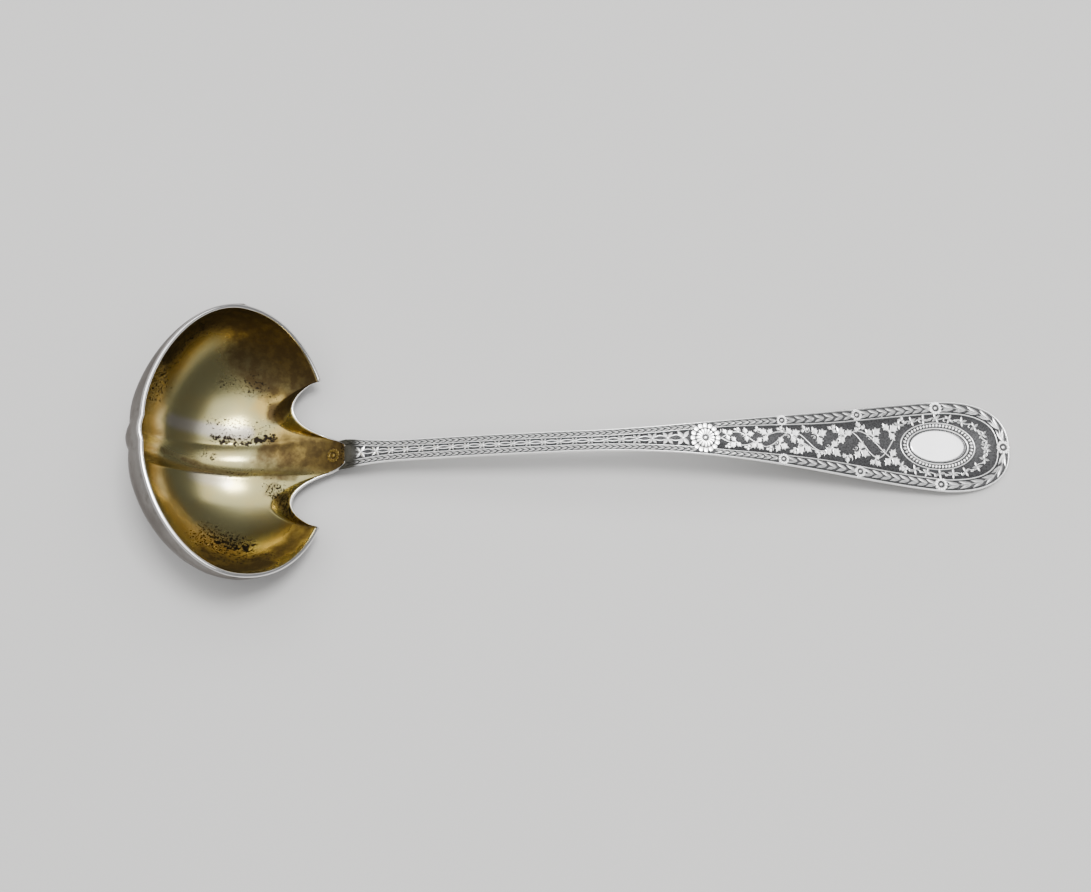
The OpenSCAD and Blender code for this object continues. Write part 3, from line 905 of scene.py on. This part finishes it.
def plain_silver(name, bright, dark, most, edge=(1, 1, 1, 1)):
    """Polished silver with fine scratches and an uneven tarnish that the wear has left."""
    f = Finish(name, Specular_Tint=edge)
    clouds = f.math("MAXIMUM", f.clouds(90.0, 0.5, 0.2), f.clouds(420.0, 0.58, 0.14))
    kept = f.math("SUBTRACT", 1.0, f.drawn("wear"), clamp=True)
    tarnish = f.times(kept, f.blend(clouds, most * 0.86, most))
    f.feed("Base Color", f.blend(tarnish, bright, dark))
    f.feed("Roughness", f.blend(tarnish, 0.16, 0.3))
    f.feed("Metallic", f.blend(tarnish, 1.0, 0.92))
    f.feed_bump(f.group("scratches", Fineness=700.0), 0.1, 0.00005)
    return f.material


def worn_gilding():
    """Pale worn gilding, warmer near the rim, with brown stains and black flecks, a painted golden
    highlight on the front wall and a painted sheen along the upper crease.
    """
    f = Finish("worn gilding", Metallic=1.0)

    def mark(name, ragged, size, soft):
        return f.group("ragged", Mark=f.drawn(name), Ragged=ragged, Size=size, Soft=soft)

    even = f.times(f.clouds(150.0, 0.58, 0.2), 0.35)
    colour = f.blend(f.math("MAXIMUM", mark("warm", 0.9, 240.0, 0.5), even), PALE_GILT, DEEP_GILT)
    # Painted highlight: bright gold laid where the front wall shows a golden reflection
    colour = f.blend(mark("fresh", 1.0, 300.0, 0.5), colour, PAINTED_GOLD_HIGHLIGHT)
    # Painted sheen: a pale highlight laid along the upper crease and the lower lobe's upper edge
    colour = f.blend(f.times(mark("lilac", 0.5, 300.0, 0.5), 0.5), colour, PAINTED_SHEEN)
    mottled = f.blend(f.clouds(520.0, 0.47, 0.14), 0.84, 1.0)
    stain = f.times(mark("stain", 1.1, 330.0, 0.3), mottled)
    colour = f.blend(f.times(stain, 0.96), colour, BROWN)
    flecked = f.drawn("flecked")
    flecks = f.group("flecks", Size=1900.0, Amount=flecked)
    flecks = f.times(flecks, f.times(flecked, 3.0, clamp=True))
    flecks = f.math("MAXIMUM", flecks, mark("black", 2.4, 1000.0, 0.1))
    f.feed("Base Color", f.blend(flecks, colour, BLACK))
    f.feed("Roughness", f.blend(f.math("MAXIMUM", stain, flecks), 0.24, 0.5))
    scratches = f.times(f.group("scratches", Fineness=600.0), 0.3)
    f.feed_bump(f.math("SUBTRACT", scratches, flecks), 0.15, 0.00008)
    return f.material


def gilt_carving():
    """Gilding rubbed on the high spots, with brown dirt in the lines."""
    f = Finish("gilt carving", Metallic=1.0, Roughness=0.34)
    grime = f.times(f.clouds(900.0, 0.5, 0.2), 0.3)
    bright = f.math("SUBTRACT", f.drawn("wear"), grime, clamp=True)
    f.feed("Base Color", f.blend(bright, BROWN, DEEP_GILT))
    return f.material


CARVED = carved_silver()
PLAIN = plain_silver("plain silver", (0.84, 0.83, 0.81), (0.16, 0.15, 0.14), 1.0,
                     edge=(0.45, 0.43, 0.42, 1))
POLISHED = plain_silver("polished silver", (0.96, 0.96, 0.97), (0.62, 0.61, 0.60), 0.4)
GILDING = worn_gilding()
GILT_CARVING = gilt_carving()
trees = {"row": row_tree(), "spot": spot_tree(), "vine": vine_tree(), "wheel": wheel_tree()}

# The bowl
SIDE_COLS = 40
NOTCH_COLS = 40
FLUTE_COLS = 14
BOWL_ROWS = 110
LIP_STEPS = 6
LIP_BULGE = 0.3
LIP_WEAR = 80
# How far the rows crowd towards the lip, and how much of the margin the tongue keeps
ROW_EASE = 0.35
TONGUE_MARGIN = 0.25
# Where the lip comes free of the tongue, in notch edges, and where it turns sideways, in half widths
FREE_Y = 0.6
SIDE_Y = 0.93


def bowl_columns():
    half = [NOTCH_IN * i / FLUTE_COLS for i in range(FLUTE_COLS + 1)]
    half += [NOTCH_IN + NOTCH_W * i / NOTCH_COLS for i in range(1, NOTCH_COLS + 1)]
    width = HALF_W - NOTCH_OUT
    half += [NOTCH_OUT + width * sin(90 * i / SIDE_COLS) for i in range(1, SIDE_COLS + 1)]
    return [-y for y in reversed(half[1:])] + half


def lip(start, end, way):
    """The rounded lip between two points, which bulges in a way across them."""
    angles = [180 * i / LIP_STEPS for i in range(1, LIP_STEPS)]
    return [(start + end) / 2 + (start - end) / 2 * cos(a) + way * sin(a) for a in angles]


def bowl_shell(name, inside, outside, margin, bulge):
    """A closed shell between two depths under the bowl's inner face, with a rounded lip."""
    columns = bowl_columns()
    front = Vector((sin(FRONT_A), 0, -cos(FRONT_A)))
    back = Vector((-sin(BACK_A), 0, cos(BACK_A)))
    both = (front + back).normalized()
    points, wear = [], []
    for y in columns:
        inner, outer, worn = [], [], []
        free = smooth((abs(y) / NOTCH_IN - FREE_Y) / FREE_Y)
        for i in range(BOWL_ROWS + 1):
            t = i / BOWL_ROWS
            worn.append(max(smooth(1 - LIP_WEAR * t), free * smooth(1 - LIP_WEAR * (1 - t))))
            t = mix(t, (1 - cos(180 * t)) / 2, ROW_EASE)
            t = mix(margin, 1 - margin * mix(TONGUE_MARGIN, 1, free), t)
            a = mix(FRONT_A, back_a(y), t)
            inner.append(bowl_point(spread(y, t), a, inside(t)))
            outer.append(bowl_point(spread(y, t), a, outside(t)))
        side = smooth((abs(y) / HALF_W - SIDE_Y) / (1 - SIDE_Y))
        back_way = back.lerp(both, side).normalized() * bulge * free
        front_way = front.lerp(both, side).normalized() * bulge
        points += inner + lip(inner[-1], outer[-1], back_way)
        points += outer[::-1] + lip(outer[0], inner[0], front_way)
        wear += worn + [free] * (LIP_STEPS - 1) + worn[::-1] + [1.0] * (LIP_STEPS - 1)
    faces = ring_faces(len(columns), len(points) // len(columns))
    mesh = make_mesh(name, points, faces)
    set_mark(mesh, "wear", wear)
    return tidy_mesh(mesh)


TONGUE_END = [(20.8, 3, 6.6), (20.8, 0, 6.2), (20.8, -3, 6.6)]
NOTCH_EDGE = [(3.8, -6.3, 2), (6.4, -8.9, 3.7), (8.4, -11.7, 5.8)]
# Marks on the gilding, and the painted highlight and painted sheen, each drawn as a stroke: radius,
# strength and the points it runs through
MARKS = {
    "warm": [
        (2.6, 1, [(-19.7, 2, 13), (-18.9, -2.5, 11.8), (-17.4, -7.7, 10), (-14.9, -12.3, 9.3),
                  (-11, -17, 9.5)]),
        (5.0, 1, [(-11, -18, 10), (-3.5, -23, 10), (3, -23, 10), (7.5, -19.5, 7.6), (10.6, -15.5, 6)]),
        (4.6, 1, [(7, 3, 2.2), (11, 2, 3.3), (18, 0, 6)]),
        (7.0, 1, [(-15, 18.5, 18.5), (-7, 25.4, 20.8), (2, 26, 15), (8.4, 21.3, 9.5)]),
        (3.0, 0.9, [(2, 11.5, 2.5), (5, 12.5, 3.5)])],
    # Painted highlight: a bright golden reflection band along the front wall of both lobes
    "fresh": [
        (3.0, 1, [(-17.4, 14, 18), (-19, 8.5, 13.5), (-19.7, 2, 13)]),
        (2.2, 0.45, [(-19.7, 2, 13), (-18.9, -3, 12), (-17.4, -8, 11)])],
    "stain": [
        (4.0, 0.8, [(-15, 18.8, 18.6), (-11.4, 22.4, 19.7), (-6.7, 25.4, 20.8)]),
        (5.2, 1, [(-6.7, 25.4, 20.8), (-1, 26.5, 18), (5.3, 24.1, 12.1), (9, 20.5, 9), (11, 17, 7)]),
        (6.4, 1.15, [(1.0, 20.5, 7.5), (2.5, 19.5, 6.5)]),
        (2.2, 1, [(10.8, 14.6, 7), (8.8, 12.6, 5.4), (6.2, 11, 3.8), (4.2, 9.8, 2.8)]),
        (2.0, 0.55, NOTCH_EDGE),
        (2.8, 0.62, [(-8, -21.5, 10.8), (-3, -23.5, 11), (3, -23, 10), (8, -19.5, 7.8), (10.6, -15.5, 6)]),
        (2.4, 0.9, [(-4, -25.6, 13.5), (0, -25.2, 12.3), (4, -24.3, 11)]),
        (0.9, 0.6, [(-18, 0.8, 9.5), (-12.8, -0.7, 4.8), (-8.4, -1.9, 3.1), (-2, -3.1, 2.1)]),
        (1.1, 0.6, [(1.8, -3.2, 2), (8, -4, 2.9)]),
        (4.2, 1.25, TONGUE_END),
        (4.2, 0.76, [(3.6, 1, 1.7), (13, 1, 3.6), (18, 0, 6)]),
        (3.0, 0.4, [(-1, -1, 1.4), (6, -1, 2)])],
    "black": [
        (1.1, 0.6, [(-8.7, 4.5, 3.5), (-5.2, 4, 2.6), (-1.8, 4, 2.1), (3.3, 4.8, 2)]),
        (1.4, 0.5, [(-6, -18, 7), (-1, -20, 7)]),
        (1.1, 0.42, [(5, -8, 2.8), (8, -11.6, 5.6)])],
    "flecked": [
        (2.6, 1.3, TONGUE_END),
        (2.2, 0.7, [(-9, 7.8, 3.8), (2.6, 7.6, 1.9)]),
        (2.4, 0.8, [(-6, 16, 5.6), (-2.5, 15.4, 4.4), (1.5, 15, 4)]),
        (1.4, 0.8, [(-8.5, 4.9, 3.5), (3.3, 5.4, 2)]),
        (1.3, 0.8, [(-10.4, 1.4, 3.8), (-8.6, 0.6, 3)]),
        (2.8, 0.95, [(-8.4, -15.7, 6.3), (-3, -17.8, 6), (-0.4, -19.4, 6.5)]),
        (3.0, 0.8, [(-11, -17.5, 9), (-4, -22, 9.6), (4, -22, 9)]),
        (2.6, 0.95, NOTCH_EDGE),
        (4.5, 0.85, [(-18.5, 12, 15.5), (-15, 18.5, 18.5), (-9, 23, 19)]),
        (1.3, 0.7, [(-5.5, -3.2, 2.4), (-1, -3.3, 2)]),
        (2.5, 0.6, [(4, 11, 3), (0, 18, 6)])],
    # Painted sheen along the upper crease, and weaker along the lower lobe's upper edge
    "lilac": [
        (1.5, 0.9, [(-16, 7.2, 8.8), (-11.7, 6.6, 5), (-7, 6, 3), (-2, 6, 2)]),
        (1.6, 0.6, [(-12, -3.6, 5.4), (-6, -4.6, 2.9)])]}


def near_strokes(points, strokes):
    """1 along the middle of the strokes, a half at their radius, 0 well outside."""
    share = np.zeros(len(points))
    for radius, most, path in strokes:
        for a, b in zip(np.array(path[:-1]), np.array(path[1:])):
            along = np.clip((points - a) @ (b - a) / ((b - a) @ (b - a)), 0, 1)
            away = np.linalg.norm(points - a - along[:, None] * (b - a), axis=1)
            share = np.maximum(share, most * np.clip(1.5 - away / radius, 0, 1))
    return share


GILT_T = 0.05


def wall(t):
    return mix(WALL_T, LIP_T, abs(2 * t - 1) ** 6)


bowl = bowl_shell("bowl", lambda t: GILT_T / 2, wall, 0.006, LIP_BULGE)
place(bowl, "bowl", PLAIN)
gilding = bowl_shell("bowl_gilding", lambda t: 0.0, lambda t: GILT_T, 0.009, 0.0)
places = np.array([(own_x(v), v.co.y / MM, v.co.z / MM) for v in gilding.vertices])
for name, strokes in MARKS.items():
    set_mark(gilding, name, near_strokes(places, strokes))
place(gilding, "bowl_gilding", GILDING)


# The handle
def handle_mesh():
    points, wear, xs = [], [], []
    for o, n in zip(half_line, inwards):
        spine = Vector((o.x if o.x < END_X else mix(END_X, o.x, 0.3), 0))
        rows = section(o.x)
        half = []
        for inset, share, depth, bright in rows:
            q = (o + n * inset).lerp(spine, share)
            if share == 0 and q.y < 0:
                q.y = 0.0
            half.append(Vector((q.x, q.y, spine_z(q.x) - depth)))
        points += half + [Vector((p.x, -p.y, p.z)) for p in reversed(half)]
        wear += [row[3] for row in rows + rows[::-1]]
        xs += [o.x] * (2 * len(rows))
    loop = len(points) // len(half_line)
    faces = ring_faces(len(half_line), loop) + [list(range(len(points) - loop, len(points)))]
    mesh = make_mesh("handle", points, faces)
    set_wear(mesh, wear, xs)
    return tidy_mesh(mesh)


place(handle_mesh(), "handle", CARVED)

# The laurel bands and the chevrons of the stem
BUDS = [(ROSETTE_X + 16.0, 1.15), (ROSETTE_X + 32.2, 1.2), (OVAL_X, 1.4)]
TIP_BUD_R = 1.5
BAND_SHIFT = 0.04
band = inset_line(lambda x: edge_w(x) + BAND_SHIFT + band_w(x) / 2)
band_y = trace(band, 1)
bud_spots = [(band[-1].x, 0.0, TIP_BUD_R)]
for x, r in BUDS:
    bud_spots += [(x, band_y(x), r), (x, -band_y(x), r)]


def carve_band(name, shape, start, end, clear, pitch):
    """A row of leaves on both sides of the handle, along the parts of the band between rosettes."""
    centres = [(Vector((x, abs(y))), r) for x, y, r in bud_spots] + [(Vector((ROSETTE_X, 0)), ROSETTE_R)]

    def free(p):
        return start <= p.x <= end and all((p - c).length > r + clear for c, r in centres)

    lines = [list(run) for is_free, run in itertools.groupby(band, free) if is_free]
    paths = [[(on_ground(p.x, s * p.y, -FOOT), (pitch, band_w(p.x) / 2, 1)) for p in line]
             for line in lines for s in (-1, 1)]
    carve("row", path_mesh(paths), name, Shape=shape, Pitch=pitch * MM)


CHEVRON_PITCH = 1.3
TIP_PITCH = 2.35
chevron = small_shape("chevron", arrow_leaves(0.9, 0.44))
carve_band("stem_chevrons", chevron, NECK_X + 0.6, ROSETTE_X, 0.3, CHEVRON_PITCH)
stops = [ROSETTE_X] + [x for x, r in BUDS]
laurel_pair = small_shape("laurel", arrow_leaves(0.82, 0.52))
for i, (start, end) in enumerate(zip(stops, stops[1:])):
    pitch = 0.75 + 0.6 * band_w((start + end) / 2)
    carve_band("laurel_bands_%d" % (i + 1), laurel_pair, start, end, 0.45, pitch)
middle_leaf = ridged_leaf((0.6, 0), (-0.72, 0), 0.42, LEAF_TOP + 0.04)
laurel_three = small_shape("laurel_three", arrow_leaves(0.82, 0.52) + [middle_leaf])
carve_band("laurel_round_end", laurel_three, OVAL_X, HANDLE_L, 0.9, TIP_PITCH)

# Rosettes
PETALS = 16
PETAL_A = 180 / PETALS * 1.02
ROSETTE_TOP = SINK + FOOT + 0.22
outer_petal = petal_part(ROSETTE_R * 0.68, ROSETTE_R, PETAL_A, ROSETTE_TOP * 0.92, 1.05)
inner_petal = petal_part(ROSETTE_R * 0.2, ROSETTE_R * 0.64, PETAL_A, ROSETTE_TOP, 0.95)
core = dome((ROSETTE_R * 0.9, ROSETTE_R * 0.9), ROSETTE_TOP * 0.45, 32, flat=0.9)
large = wheel("large_rosette_shape", [outer_petal, inner_petal], PETALS, core)
boss = small_shape("boss", [dome((0.5, 0.5), ROSETTE_TOP * 1.15, 10)])
carve("spot", spots_mesh([(ROSETTE_X, 0, 0, 1)]), "large_rosette", 0.16, 0.46, Shape=large)
carve("spot", spots_mesh([(ROSETTE_X, 0, 0, 1)]), "large_rosette_boss", 0.2, 0.5, Shape=boss)

BUD_PETALS = 12
BUD_TOP = SINK + FOOT + 0.14
bud_petal = petal_part(0.52, 1.0, 180 / BUD_PETALS * 1.08, BUD_TOP, 1.0)
small = wheel("bud_shape", [bud_petal], BUD_PETALS, dome((0.3, 0.3), BUD_TOP * 1.1, 10))
carve("spot", spots_mesh([(x, y, 0, r) for x, y, r in bud_spots]), "small_rosettes", 0.1, 0.3,
      Shape=small)


# The plain oval, its lines and its beads
def round_oval(gap, a):
    return Vector((OVAL_X + (OVAL_L / 2 + gap * END_GAP) * cos(a), (OVAL_W / 2 + gap) * sin(a)))


OVAL_SIDES = 96
PLATE = [(-3.2, 0.36), (-1.6, 0.35), (-0.5, 0.33), (-0.16, 0.31), (-0.04, 0.27), (0.04, 0.1), (0.05, -0.1)]
RING_H = 0.22
RING_GAP = 0.45
BEAD_GAP = 1.05
OUTER_GAP = 1.62


def oval_loft(profile, closed):
    """Rings round the oval, each a gap outside it and a rise above the ground."""
    points = []
    for gap, rise in profile:
        ring = [round_oval(gap, 360 * i / OVAL_SIDES) for i in range(OVAL_SIDES)]
        points += [on_ground(p.x, p.y, rise) for p in ring]
    faces = ring_faces(len(profile), OVAL_SIDES, closed)
    if not closed:
        faces += [list(range(OVAL_SIDES)), list(range(len(points) - OVAL_SIDES, len(points)))]
    return points, faces


def raised_line(gap, width):
    half = [(width / 2, -0.1), (width * 0.4, RING_H * 0.6), (width * 0.18, RING_H)]
    profile = [(gap - w, rise) for w, rise in half] + [(gap + w, rise) for w, rise in half[::-1]]
    return oval_loft(profile, closed=True)


plate = tidy_mesh(make_mesh("plain_oval", *oval_loft(PLATE, closed=False)))
wear_by_height(plate, -0.05, 0.2, 0.9)
place(plate, "plain_oval", POLISHED)
lines = joined([raised_line(RING_GAP, 0.34), raised_line(OUTER_GAP, 0.3)])
lines = tidy_mesh(make_mesh("oval_lines", *lines))
wear_by_height(lines, -0.02, 0.18)
place(lines, "oval_lines", CARVED)
BEAD_PITCH = 0.74
bead = small_shape("bead", [dome((0.3, 0.4), LEAF_TOP, 8, flat=0.9, turn=-24)])
bead_line = [round_oval(BEAD_GAP, 2 * i) for i in range(180)]
bead_path = path_mesh([[(on_ground(p.x, p.y, -FOOT), (1, 1, 1)) for p in bead_line]], closed=True)
carve("row", bead_path, "oval_beads", Shape=bead, Pitch=BEAD_PITCH * MM)

# The ivy between the large rosette and the oval
VINE_A = ROSETTE_X + ROSETTE_R + 0.2
VINE_B = OVAL_X - OVAL_L / 2 - OUTER_GAP * END_GAP
VINE_WAVES = (12.0, -16.5)
VINE_W = 0.3
VINE_LIFT = 0.1
TENDRIL_W = VINE_W * 0.8
# Shares of half the field's width, and the step from leaf to leaf in sizes of a leaf
VINE_SWING = 0.55
LEAF_SIZE = 0.62
LEAF_Y = 0.31
LEAF_MOST = 2.2
LEAF_STEP = 1.36
BUD_SIZE = 0.3
BUD_Y = 0.66
# The narrowest field with room for tendrils
TENDRIL_FIELD = 1.8


def ground_line(points, start=1.0, end=1.0):
    """A path on the ground that thins from its start to its end."""
    shares = np.linspace(0, 1, len(points))
    return [(on_ground(x, y, VINE_LIFT), (mix(start, end, t), 1, 1)) for (x, y), t in zip(points, shares)]


def curl(x, y, heading, radius, turn, start=0.8, end=0.35, turns=1.3, steps=22):
    """A tendril that leaves a point and winds up."""
    points = [Vector((x, y))]
    for i in range(1, steps + 1):
        t = i / steps
        step = radius * mix(0.62, 0.12, t) * turns * 6.0 / steps
        heading += turn * 360 * turns / steps * mix(0.35, 1.65, t)
        points.append(points[-1] + Vector((cos(heading), sin(heading))) * step)
    return ground_line(points, start, end)


chance = random.Random(4)
vines, ivy_leaves, tendrils = [], [], []
for wave in VINE_WAVES:
    xs = np.linspace(VINE_A, VINE_B - 1.5, 90)
    swings = [field(x) * VINE_SWING * math.sin(math.tau * (x - VINE_A) / wave) for x in xs]
    vines.append(ground_line(list(zip(xs, swings))))
x = VINE_A + 1.0
side = 1
leans = itertools.cycle((35, 140, 20))
while x < VINE_B - 4.4:
    f = field(x)
    size = min(LEAF_MOST, f * LEAF_SIZE)
    lean = side * (next(leans) + chance.uniform(-12, 12))
    ivy_leaves.append((x, side * f * LEAF_Y, lean, size))
    bud_lean = -side * chance.uniform(40, 120)
    ivy_leaves.append((x + size * 0.1, -side * f * BUD_Y, bud_lean, f * BUD_SIZE))
    if f > TENDRIL_FIELD:
        tendrils.append(curl(x - size * 0.75, side * f * 0.78, side * -60, size * 0.4, -side))
        tendrils.append(curl(x + size * 0.75, -side * f * 0.3, -side * 40, size * 0.34, side))
    x += size * LEAF_STEP
    side = -side
for side in (1, -1):
    ivy_leaves.append((VINE_B - 2.5, side * 2.75, side * 34, 2.25))
    ivy_leaves.append((VINE_B + 0.3, side * 5.2, side * 75, 0.9))
    tendrils.append(curl(VINE_B - 4.6, side * 5.6, side * -20, 0.8, side))
carve("vine", path_mesh(vines), "ivy_vines", 0.04, 0.22, Width=VINE_W * MM, Sides=6)
carve("vine", path_mesh(tendrils), "ivy_tendrils", 0.04, 0.22, Width=TENDRIL_W * MM, Sides=6)
carve("spot", spots_mesh(ivy_leaves), "ivy_leaves", 0.16, Shape=ivy_shape())

# The fine vine round the oval, halfway between the oval's outer line and the field's
TWIG_SWING = 0.16
TWIG_STEP = 2.9
TWIG_W = 0.25
TWIG_LEAF = 1.2
TWIG_LEAN = 24
TWIG_CURL_A = 60
TWIG_CURL_R = 0.62
TWIG_POINTS = 150
TWIG_START_A = 4
TWIG_END_A = 142
inner_line = inset_line(lambda x: edge_w(x) + band_w(x) + line_w(x))
inner_y = trace(inner_line, 1)


def twig_point(a, swing=0.0):
    """A point in the gap round the oval. Swing is counted in half gaps."""
    gap = OUTER_GAP
    while gap < 6:
        p = round_oval(gap, a)
        if p.x > inner_line[-1].x or p.y > inner_y(p.x):
            break
        gap += 0.05
    return round_oval(mix(OUTER_GAP, gap, 0.5 + swing / 2), a)


twigs, twig_leaves = [], []
angles = np.linspace(TWIG_START_A, TWIG_END_A, TWIG_POINTS)
last = TWIG_POINTS - 1
path = [twig_point(a) for a in angles]
turns = round(sum((q - p).length for p, q in zip(path, path[1:])) / TWIG_STEP)
waved = [twig_point(a, TWIG_SWING * sin(360 * turns * i / last)) for i, a in enumerate(angles)]
for side in (1, -1):
    twigs.append(ground_line([(p.x, side * p.y) for p in waved]))
    for i in range(turns + 1):
        way = (-1) ** i
        k = min(last - 1, round(last * i / turns))
        p, q = path[k], path[k + 1]
        heading = side * math.degrees(math.atan2(q.y - p.y, q.x - p.x))
        twig_leaves.append((p.x, side * p.y, heading + TWIG_LEAN * way, TWIG_LEAF))
        if i < turns:
            p = path[min(last, round(last * (i + 0.35) / turns))]
            curl_a = heading + TWIG_CURL_A
            twigs.append(curl(p.x, side * p.y, curl_a, TWIG_CURL_R, side * way, 1.0, 0.6, 0.85, 16))
carve("vine", path_mesh(twigs), "oval_twigs", 0.02, 0.18, Width=TWIG_W * MM, Sides=5)

# The stem's vine and its knots of leaves
KNOT_PITCH = 3.15
KNOT_SIZE = 1.2
STEM_VINE_W = 0.23
STEM_SWING = 0.46
first = NECK_X + 3.2
last = ROSETTE_X - ROSETTE_R - 0.8


def stem_wave(x):
    return field(x) * STEM_SWING * abs(math.sin(math.pi * (x - first) / KNOT_PITCH))


xs = np.linspace(first - 1, last, 260)
stem_lines = [ground_line([(x, stem_wave(x) * share) for x in xs]) for share in (1, -0.75)]
knots = []
x = first
while x < last:
    knots.append((x, 0, 0, field(x) * KNOT_SIZE))
    x += KNOT_PITCH
carve("vine", path_mesh(stem_lines), "stem_vine", 0.02, 0.18, Width=STEM_VINE_W * MM, Sides=5)
carve("spot", spots_mesh(knots + twig_leaves), "cross_leaves", Shape=cross_leaf_shape())

# The gilt rosette on the neck
NECK_ROSETTE_X = 16.7
NECK_ROSETTE = (1.5, 1.5, 0.55)
NECK_FOOT = 0.06
tongue = [Vector((NECK_ROSETTE_X + step, 0, floor_z(NECK_ROSETTE_X + step))) for step in (-1, 0, 1)]
neck_top = tongue[1] - Vector((0, 0, NECK_FOOT))
tongue_up = (tongue[2] - tongue[0]).cross(Vector((0, 1, 0))).normalized()
tongue_up *= 1 if tongue_up.z > 0 else -1
spot = attributed([neck_top], [], [Vector((1, 0, 0))], [NECK_ROSETTE], up=lambda x: tongue_up)
mesh = grow("spot", spot, "neck_rosette", Shape=small, Finish=GILT_CARVING)
middle = Vector((neck_top.x + SHIFT_X, 0, neck_top.z))
rises = [(v.co / MM - middle).dot(tongue_up) - NECK_FOOT for v in mesh.vertices]
set_mark(mesh, "wear", [smooth((rise - 0.02) / 0.14) for rise in rises])
mesh.materials.clear()
place(mesh, "neck_rosette", GILT_CARVING)

for obj in helpers:
    bpy.data.objects.remove(obj)

# Floor, light and camera
FLOOR_GAP = 0.00007
FLOOR_HALF = 2.0
corners = [(x * FLOOR_HALF, y * FLOOR_HALF, -FLOOR_GAP) for x, y in ((-1, -1), (1, -1), (1, 1), (-1, 1))]
floor = bpy.data.meshes.new("floor")
floor.from_pydata(corners, [], [(0, 1, 2, 3)])
paper = Finish("pale paper", Roughness=0.9)
grain = paper.clouds(6.0, 0.5, 0.4)
paper.feed("Base Color", paper.blend(grain, (0.42, 0.416, 0.408), (0.445, 0.44, 0.432)))
floor.materials.append(paper.material)
linked("floor", floor)


def soft_light(name, place_m, size, power):
    """A soft light that points at the middle of the object."""
    light = bpy.data.lights.new(name, "AREA")
    light.shape = "RECTANGLE"
    light.size, light.size_y = size
    light.energy = power
    obj = linked(name, light)
    obj.location = place_m
    obj.rotation_euler = (-Vector(place_m)).to_track_quat("-Z", "Y").to_euler()


soft_light("main soft light", (0.14, 0.06, 0.97), (0.22, 0.26), 12)
soft_light("wide overhead light", (0.0, 0.12, 1.0), (1.7, 1.4), 24)
world = bpy.data.worlds.new("studio")
world.use_nodes = True
background = world.node_tree.nodes["Background"]
background.inputs["Color"].default_value = (0.30, 0.30, 0.31, 1)
background.inputs["Strength"].default_value = 0.9
bpy.context.scene.world = world

# The camera looks down at the photograph's tilt, turned a little about the upright
TILT = 14.56
TURN = 1.12
DISTANCE = 0.3665
FOCAL_PIXELS = 1737
PHOTO_WIDTH = 1091
SENSOR = 36.0
target = Vector(((60.8 + SHIFT_X) * MM, 0.00248, 0.0))
right = Vector((cos(TURN), -sin(TURN), 0))
level = Vector((sin(TURN), cos(TURN), 0))
back_way = -level * sin(TILT) + Vector((0, 0, 1)) * cos(TILT)
up_way = back_way.cross(right)
camera = bpy.data.cameras.new("camera")
camera.sensor_width = SENSOR
camera.lens = FOCAL_PIXELS / PHOTO_WIDTH * SENSOR
camera.clip_start = 0.01
camera_obj = linked("camera", camera)
turn = Matrix((right, up_way, back_way)).transposed()
camera_obj.matrix_world = Matrix.Translation(target + back_way * DISTANCE) @ turn.to_4x4()
bpy.context.scene.camera = camera_obj
